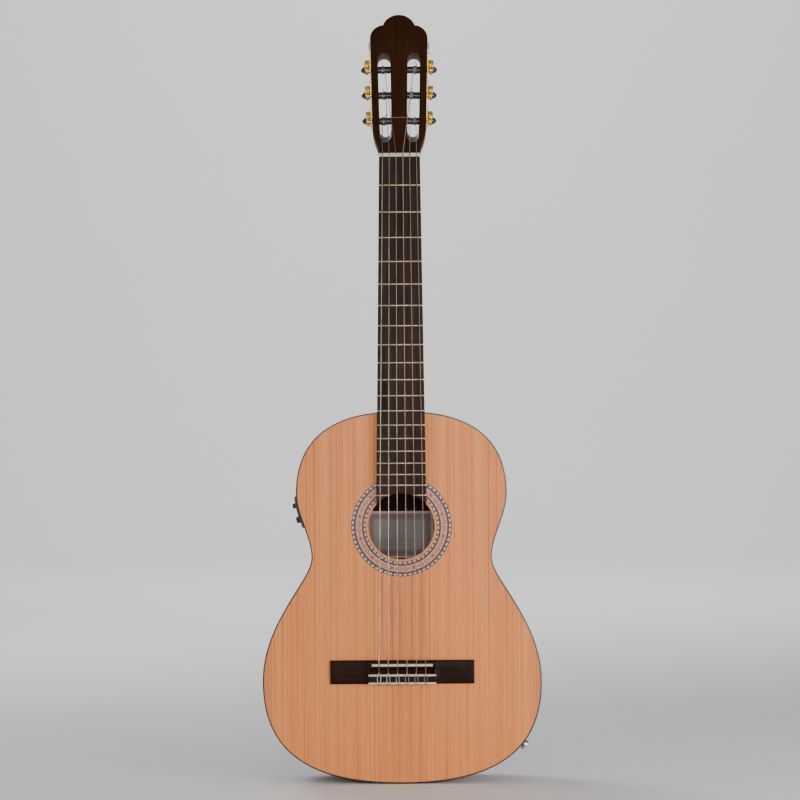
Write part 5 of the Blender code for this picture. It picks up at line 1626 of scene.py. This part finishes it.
def thread_radius(height, turn):
    """The worm's radius at a height and a share of a turn, eased off towards the thread's ends."""
    phase = (height / WORM_LEAD - turn - 0.25) % 1.0
    lift = 0.5 + 0.5 * math.cos(math.tau * phase)
    lift = min(1.0, max(0.0, (lift - 0.25) * 1.7))
    ease = min(1.0, (WORM_REACH - abs(height)) / 0.0008)
    return WORM_ROOT_RADIUS + (WORM_CREST_RADIUS - WORM_ROOT_RADIUS) * lift * ease


def make_worm(number):
    """A single-start worm with a rounded thread on a straight shaft."""
    side = side_of(number)
    columns, steps = 32, 80
    shaft, end = WORM_SHAFT_RADIUS, -LUG_FACE - LUG_LENGTH
    stations = [(end - 0.0004, 0.0008), (end - 0.0002, shaft), (-LUG_FACE, shaft)]
    stations += [(-WORM_REACH + 2 * WORM_REACH * step / steps, None) for step in range(steps + 1)]
    stations += [(LUG_FACE, shaft), (BUTTON_START + 0.0060, shaft)]
    rings = []
    for height, fixed in stations:
        ring = []
        for column in range(columns):
            angle = math.tau * column / columns
            radius = thread_radius(height, column / columns) if fixed is None else fixed
            ring.append((side * radius * math.cos(angle), height, radius * math.sin(angle)))
        rings.append(ring)
    item = lofted(f"worm_{number}", rings, 50)
    item.matrix_world = key_frame(number)
    nodes = (f"tuner_worm_{number}",)
    place_piece(item, f"tuning_key_{number}", nodes=nodes, material=GOLD)


def key_frame(number):
    return roller_frame(number) @ Matrix.Translation((side_of(number) * GEAR_OUT, 0.0, WORM_OFFSET))


BUTTON_HALF_WIDTH = 0.0080
BUTTON_HALF_DEPTH = 0.0050
# The ferrule's outline: radius, and distance out from the button's start.
FERRULE = (
    (0.0018, -0.0030), (0.0026, -0.0030), (0.0030, -0.0026), (0.0030, -0.0012), (0.0025, -0.0006),
    (0.0030, 0.0004), (0.0028, 0.0030), (0.0018, 0.0030), (0.0018, -0.0030),
)


def make_button(number):
    """An oval button, pinched towards its stem, with a gold ferrule."""
    stacks = 24
    turns = [math.pi * step / stacks for step in range(stacks + 1)]
    profile = [(math.sin(angle), -math.cos(angle)) for angle in turns]
    knob = turned("knob", profile, Matrix.Identity(4), 40, 60)
    half = BUTTON_LENGTH / 2
    middle = BUTTON_START + half
    for vertex in knob.data.vertices:
        x, y, z = vertex.co
        square = 1.0 + 0.06 * (1 - abs(x)) * (1 - abs(z))
        stem = 1 - 0.16 * max(0.0, -y) ** 2
        vertex.co = (x * BUTTON_HALF_WIDTH * stem, middle + y * half, z * BUTTON_HALF_DEPTH * stem / square)
    soften(painted(knob, BUTTON_BLACK), 60)
    profile = [(radius, BUTTON_START + out) for radius, out in FERRULE]
    ferrule = painted(turned("ferrule", profile, Matrix.Rotation(-math.pi / 2, 4, "X"), 32), GOLD)
    item = joined(f"button_{number}", [knob, ferrule])
    item.matrix_world = key_frame(number)
    place_piece(item, f"tuning_key_{number}", nodes=(f"tuner_button_{number}",))


# ---------------------------------------------------------------- strings
# Where each string leaves its roller, which way its turns are laid (1 is away from the middle), and turns.
WINDINGS = (
    (0.0215, -1, 4.2), (0.0140, 1, 4.2), (0.0190, 1, 3.6),
    (-0.0190, 1, 4.3), (-0.0173, 1, 4.0), (-0.0220, -1, 3.8),
)
TURN_POINTS = 36
TURN_SPACING = 1.06             # between turns, in string diameters


def winding_line(number, nut_point):
    side = side_of(number)
    diameter = STRING_DIAMETERS[number - 1]
    start_x, spread, turns = WINDINGS[number - 1]
    here = roller_frame(number)
    local_nut = here.inverted() @ nut_point
    radius = ROLLER_RADIUS - 0.0003 + diameter / 2 + 0.00005
    distance = math.hypot(local_nut.y, local_nut.z)
    towards = math.atan2(local_nut.y, local_nut.z)
    first = towards + math.acos(radius / distance)
    if radius * math.sin(first) > 0:
        first = towards - math.acos(radius / distance)
    along = MIDDLE_ROLLER_ALONG + machine_row(number) * ROLLER_PITCH
    offset = start_x - side * head_half_width(along)
    pitch = diameter * TURN_SPACING
    line = []
    for step in range(round(turns * TURN_POINTS) + 1):
        turn = step / TURN_POINTS
        angle = first + math.tau * turn
        x = offset + side * spread * pitch * turn
        line.append(here @ Vector((x, radius * math.sin(angle), radius * math.cos(angle))))
    return line[::-1]


def tie_knot(x, radius):
    """Through the tie block, up its rear, over it, round the string and back under its own turn."""
    top_y = TOP_FRONT_Y - 0.0084 - radius - 0.0001
    rear, front = BRIDGE_REAR_Z, TIE_FRONT_Z
    middle = (rear + front) / 2
    side = 0.0012 + radius * 1.6
    behind = rear - 0.0004 - radius
    tail_z = rear - 0.0012
    corners = [
        (0.0, TIE_HOLE_Y, front + 0.0012),
        (0.0, TIE_HOLE_Y, front - 0.001),
        (0.0, TIE_HOLE_Y, middle),
        (0.0, TIE_HOLE_Y, rear + 0.0006),
        (0.0002, TIE_HOLE_Y - 0.0003, behind),
        (side * 0.4, (TIE_HOLE_Y + top_y) / 2, behind - 0.0001),
        (side * 0.7, top_y + 0.0007, behind + 0.0001),
        (side * 0.8, top_y, rear + 0.0006),
        (side, top_y, middle - 0.002),
        (side, top_y, middle + 0.002),
        (side * 0.75, top_y, front - 0.0012),
        (side * 0.35, top_y + 0.0005, front + 0.0008 + radius),
        (-side * 0.35, top_y + 0.0005, front + 0.0008 + radius),
        (-side * 0.75, top_y, front - 0.0012),
        (-side, top_y, middle + 0.002),
        (-side, top_y, middle - 0.002),
        (-side * 0.75, top_y, rear + 0.0012),
        (-side * 0.55, top_y + 0.0006, rear - 0.0004),
        (-side * 0.5, top_y + 0.0016, tail_z),
    ]
    return smooth_line([(x + a, y, z) for a, y, z in corners], 5)


def string_finish(number):
    return ("nylon", NYLON) if number <= 3 else ("silver_wound", SILVER)


def make_string(number):
    """One line from the roller's turns over the nut and the saddle to the knot on the tie block."""
    radius = STRING_DIAMETERS[number - 1] / 2
    nut_x = string_offset(number, SPREAD_AT_NUT)
    saddle_x = string_offset(number, SPREAD_AT_SADDLE)
    nut_y = -STRING_RISE_AT_NUT - radius
    saddle_y = -STRING_RISE_AT_SADDLE - radius
    nut_rear = Vector((nut_x, nut_y, 0.0036))
    half = SADDLE_THICKNESS / 2
    count = 12
    start = Vector((nut_x, nut_y, 0.0))
    stop = Vector((saddle_x, saddle_y, -SCALE_LENGTH + half - 0.0006))
    line = winding_line(number, nut_rear) + [nut_rear, start]
    line += [start.lerp(stop, step / count) for step in range(1, count)]
    line += [
        stop, Vector((saddle_x, saddle_y, -SCALE_LENGTH)),
        Vector((saddle_x, saddle_y + 0.0003, -SCALE_LENGTH - half + 0.0003)),
    ]
    line += tie_knot(saddle_x, radius)
    string = tube(f"string_line_{number}", line, radius, 10)
    slot, material = string_finish(number)
    place_piece(string, ROOT, nodes=(f"string_{number}",), material=material)


def make_string_tails():
    """Cut ends that stand out of the windings; the first string's lies over the middle rail."""
    over = [
        (0.0182, 0.0040, 0.0462), (0.0150, 0.0010, 0.0468), (0.0110, -0.0005, 0.0470),
        (0.0, -0.0006, 0.0470), (-0.0112, -0.0004, 0.0466),
    ]
    tails = [(1, over, 0.00034)]
    for number in range(2, 7):
        side, diameter = side_of(number), STRING_DIAMETERS[number - 1]
        start_x, spread, turns = WINDINGS[number - 1]
        x = start_x + side * spread * turns * diameter * TURN_SPACING
        along = MIDDLE_ROLLER_ALONG + machine_row(number) * ROLLER_PITCH
        points = [
            (x, 0.0062, along + 0.0030), (x - side * 0.0006, 0.0044, along + 0.0060),
            (x - side * 0.0016, 0.0050, along + 0.0090),
        ]
        tails.append((number, points, diameter / 2.1))
    for number, points, radius in tails:
        line = [HEAD_FRAME @ p for p in smooth_line(points, 6)]
        slot, material = string_finish(number)
        place_piece(tube(f"string_tail_{number}", line, radius, 8), ROOT, material=material)


# ---------------------------------------------------------------- preamp and jack
PREAMP_TOP_Z = -0.4350
PREAMP_LENGTH = 0.0400
PREAMP_PROUD = 0.0030
PREAMP_FRONT_Y = 0.0250
PREAMP_BACK_Y = 0.0850
KNOBS = (
    ("preamp_knob_volume", "volume_knob", 0.0118, 0.045, 0.0034),
    ("preamp_knob_bass", "bass_knob", 0.0289, 0.037, 0.0042),
    ("preamp_knob_treble", "treble_knob", 0.0289, 0.066, 0.0042),
)
BUTTON_ALONG = 0.0118
BUTTON_Y = 0.066
LAMP_ALONG = 0.0118
LAMP_Y = 0.0345
LAMP_RADIUS = 0.0013


def side_point(z, out, side=-1, steps=11):
    """A point beside the body and the side's normal there, on the CAD's own outline by default."""
    outline = half_outline(0.0, steps)
    for (x0, z0), (x1, z1) in zip(outline, outline[1:]):
        if z0 <= z < z1:
            share = (z - z0) / (z1 - z0)
            along = Vector((x1 - x0, z1 - z0)).normalized()
            normal = Vector((along.y, -along.x))
            x = x0 + (x1 - x0) * share + normal.x * out
            return Vector((side * x, 0.0, z + normal.y * out)), Vector((side * normal.x, 0.0, normal.y))
    raise ValueError("no side at this height")


def side_strip(near, far, low_z, high_z, count=20):
    heights = [low_z + (high_z - low_z) * step / count for step in range(count + 1)]
    inner = [side_point(z, near, steps=OUTLINE_STEPS)[0] for z in heights]
    outer = [side_point(z, far, steps=OUTLINE_STEPS)[0] for z in heights]
    return [(p.x, p.z) for p in inner + outer[::-1]]


def standing(base, normal):
    return Matrix.Translation(base) @ normal.to_track_quat("Z", "Y").to_matrix().to_4x4()


def panel_point(along, y):
    """A point on the preamp panel's face, and the face's normal there."""
    base, normal = side_point(PREAMP_TOP_Z - along, PREAMP_PROUD)
    base.y = y
    return base, normal


def preamp_panel(low_z):
    """The curved panel, with a dish under each knob and a well for the button."""
    strip = side_strip(-0.0005, PREAMP_PROUD, low_z, PREAMP_TOP_Z)
    panel = applied(bevelled(prism("panel", [strip], PREAMP_FRONT_Y, PREAMP_BACK_Y), 0.0012, 4, 50))
    for _, _, along, y, radius in KNOBS:
        foot, rim = radius + 0.0009, radius + 0.0013
        profile = [(0.0, -0.0006), (foot, -0.0006), (rim, 0.0006), (0.0, 0.0006)]
        panel = boolean(panel, turned("dish", profile, standing(*panel_point(along, y)), 40))
    base, normal = panel_point(BUTTON_ALONG, BUTTON_Y)
    panel = boolean(panel, rod("well", base - normal * 0.0012, base + normal * MM, 0.0026, 32))
    return painted(soften(panel), PANEL_GREY)


def preamp_housing(low_z):
    inset = 0.004
    strip = side_strip(-0.020, -0.0004, low_z + inset, PREAMP_TOP_Z - inset)
    housing = prism("housing", [strip], PREAMP_FRONT_Y + inset, PREAMP_BACK_Y - inset)
    return painted(eased(housing, 0.0012, 2, 50), PANEL_GREY)


def preamp_lamp():
    radius = LAMP_RADIUS
    profile = [(0.0, -0.0004), (radius, -0.0004), (radius, 0.0002), (radius * 0.6, 0.0006), (0.0, 0.0007)]
    return painted(turned("lamp", profile, standing(*panel_point(LAMP_ALONG, LAMP_Y)), 24), LAMP_RED)


def make_preamp():
    low_z = PREAMP_TOP_Z - PREAMP_LENGTH
    parts = [preamp_panel(low_z), preamp_housing(low_z), preamp_lamp()]
    for _, _, along, y, radius in KNOBS:
        parts += scale_marks(standing(*panel_point(along, y)), radius)
    place_piece(joined("preamp_face", parts), ROOT, nodes=("preamp_panel",))
    for knob in KNOBS:
        make_knob(*knob)
    make_push_button()


def scale_marks(place, radius):
    """Short marks round a knob, over its turn."""
    marks = []
    for step in range(11):
        angle = math.radians(-140 + 280 * step / 10)
        mark = block("mark", (-0.0001, radius + 0.0016, -0.0001), (0.0001, radius + 0.0024, 0.00008))
        mark.matrix_world = place @ Matrix.Rotation(angle, 4, "Z")
        marks.append(painted(mark, MARK_WHITE))
    return marks


# A knob's outline: share of its radius, and height above the panel.
KNOB_PROFILE = (
    (0.0, -0.0006), (0.80, -0.0006), (0.96, 0.0002), (1.0, 0.0010), (0.93, 0.0040), (0.86, 0.0045),
    (0.5, 0.0047), (0.0, 0.0047),
)
KNOB_FLUTES = 18
FLUTE_DEPTH = 0.05              # as a share of the radius
FLUTED_FROM = 0.0005
FLUTED_TO = 0.0042


def make_knob(node, body_name, along, y, radius):
    """A fluted knob with a domed cap and a pointer line."""
    per_flute = 6
    count = KNOB_FLUTES * per_flute
    rings = []
    for share, height in KNOB_PROFILE:
        ring = []
        for step in range(count):
            angle = math.tau * step / count
            wave = 0.5 + 0.5 * math.cos(math.tau * step / per_flute)
            grip = 1 if FLUTED_FROM < height < FLUTED_TO else 0
            size = max(radius * share * (1 - FLUTE_DEPTH * wave * grip), 0.00002)
            ring.append((size * math.cos(angle), size * math.sin(angle), height))
        rings.append(ring)
    cap = painted(lofted("cap", rings, 35), KNOB_BLACK)
    line = block("line", (-0.00025, radius * 0.25, 0.0043), (0.00025, radius * 0.85, 0.00468))
    knob = joined(body_name + "_cap", [cap, painted(line, MARK_WHITE)])
    knob.matrix_world = standing(*panel_point(along, y))
    place_piece(knob, body_name, nodes=(node,))


def make_push_button():
    profile = [
        (0.0, -0.0012), (0.0021, -0.0012), (0.0021, 0.0010), (0.0019, 0.0014), (0.0015, 0.0016),
        (0.0010, 0.00145), (0.0, 0.0014),
    ]
    cap = turned("push_button_cap", profile, Matrix.Identity(4), 32)
    cap.matrix_world = standing(*panel_point(BUTTON_ALONG, BUTTON_Y))
    place_piece(cap, "push_button", nodes=("preamp_push_button",), material=KNOB_BLACK)


JACK_Z = -0.7544
JACK_Y = 0.055
# The jack's outline from the socket's floor out and back to its inner end: radius and height.
JACK_PROFILE = (
    (0.0, -0.016), (0.0031, -0.016), (0.0033, -0.0155), (0.0033, 0.0099), (0.0036, 0.0104),
    (0.0060, 0.0105), (0.0065, 0.0102), (0.0068, 0.0096), (0.0068, 0.0074), (0.0064, 0.0068),
    (0.0052, 0.0062), (0.0048, 0.0055), (0.0048, 0.0038), (0.0052, 0.0030), (0.0066, 0.0024),
    (0.0082, 0.0019), (0.0085, 0.0014), (0.0085, 0.0001), (0.0058, 0.0001), (0.0058, -0.020),
    (0.0, -0.020),
)


def make_jack():
    """An end-pin jack with a flange, a strap groove, a rounded rim and an open socket."""
    base, normal = side_point(JACK_Z, 0.0, side=1)
    base.y = JACK_Y
    jack = turned("jack_shell", JACK_PROFILE, Matrix.Identity(4), 64, 30)
    jack.matrix_world = standing(base, normal)
    place_piece(jack, ROOT, nodes=("output_jack",), material=CHROME)


# ---------------------------------------------------------------- stage, light and camera
FLOOR_CLEARANCE = 0.0005
FLOOR_FRONT_Y = -6.0
WALL_START_Y = 5.0
WALL_CURVE_RADIUS = 1.5
WALL_TOP_Z = 5.5
FLOOR_SEAMS = (-7.0, -2.3, 2.3, 7.0)


def make_stage():
    """A pale floor that curves up into a backdrop."""
    finish = Finish("studio_floor", Roughness=0.9, Specular_IOR_Level=0.2)
    cloud = finish.cloud(1.3, 3.0)
    grain = finish.cloud(420.0, 2.0)
    finish.paint(finish.mix(cloud, (0.90, 0.90, 0.89), (0.87, 0.87, 0.865)), None, grain, 0.1, 0.0002)
    floor_z = CAD_BOX[0].z - FLOOR_CLEARANCE
    start, radius = WALL_START_Y, WALL_CURVE_RADIUS
    line = [(FLOOR_FRONT_Y, floor_z), (0.0, floor_z), (start, floor_z)]
    for step in range(1, 17):
        angle = math.pi / 2 * step / 16
        line.append((start + radius * math.sin(angle), floor_z + radius * (1 - math.cos(angle))))
    line.append((start + radius, WALL_TOP_Z))
    body = bmesh.new()
    rows = [[body.verts.new((x, y, z)) for x in FLOOR_SEAMS] for y, z in line]
    for first, second in zip(rows, rows[1:]):
        for index in range(len(FLOOR_SEAMS) - 1):
            body.faces.new((first[index], first[index + 1], second[index + 1], second[index]))
    floor = object_from_bmesh("studio_floor", body, 60)
    painted(floor, finish.material)


# Each square light's name, place, target, size in metres and power in watts.
LIGHTS = (
    ("key_light", (1.20, -1.15, -0.62), (0.08, 0.0, -0.60), 0.9, 31.0),
    ("fill_light", (-1.6, -2.4, 0.10), (0.0, 0.0, -0.45), 1.5, 10.0),
    ("front_light", (0.15, -3.0, -0.10), (0.0, 0.0, -0.48), 0.9, 16.0),
    ("backdrop_light", (0.0, 2.6, 2.6), (0.0, 6.4, 0.6), 2.5, 150.0),
    ("rear_light", (-1.2, 1.6, 0.9), (0.0, 0.05, -0.3), 1.0, 22.0),
)
SKY_COLOUR = (0.90, 0.92, 0.95, 1.0)
SKY_STRENGTH = 0.35


def area_light(name, place, target, size, power):
    data = bpy.data.lights.new(name, "AREA")
    data.shape = "SQUARE"
    data.size = size
    data.energy = power
    light = new_object(name, data)
    light.location = place
    light.rotation_euler = (Vector(target) - Vector(place)).to_track_quat("-Z", "Y").to_euler()


def make_lights():
    for light in LIGHTS:
        area_light(*light)
    world = bpy.data.worlds.new("studio")
    bpy.context.scene.world = world
    world.use_nodes = True
    surround = world.node_tree.nodes["Background"]
    surround.inputs["Color"].default_value = SKY_COLOUR
    surround.inputs["Strength"].default_value = SKY_STRENGTH


CAMERA_PLACE = (-0.001, -3.5, -0.3113)
CAMERA_LENS = 123.2
CAMERA_SENSOR = 36.0
CAMERA_REACH = 60.0
CAMERA_ROLL = math.radians(0.32)


def make_camera():
    data = bpy.data.cameras.new("camera")
    data.lens = CAMERA_LENS
    data.sensor_width = CAMERA_SENSOR
    data.clip_end = CAMERA_REACH
    camera = new_object("camera", data)
    camera.location = CAMERA_PLACE
    camera.rotation_euler = (math.radians(90.0), CAMERA_ROLL, 0.0)
    bpy.context.scene.camera = camera


make_camera()
make_stage()
make_lights()
make_top()
make_rosette()
make_bindings()
make_sides()
make_end_seam()
make_back()
make_label()
make_inside()
make_neck()
make_fingerboard()
make_nut()
make_bridge()
make_saddle()
make_headstock()
make_plate(-1, "machine_plate_bass")
make_plate(1, "machine_plate_treble")
for string_number in range(1, 7):
    make_roller(string_number)
    make_gear(string_number)
    make_worm(string_number)
    make_button(string_number)
    make_string(string_number)
make_string_tails()
make_preamp()
make_jack()
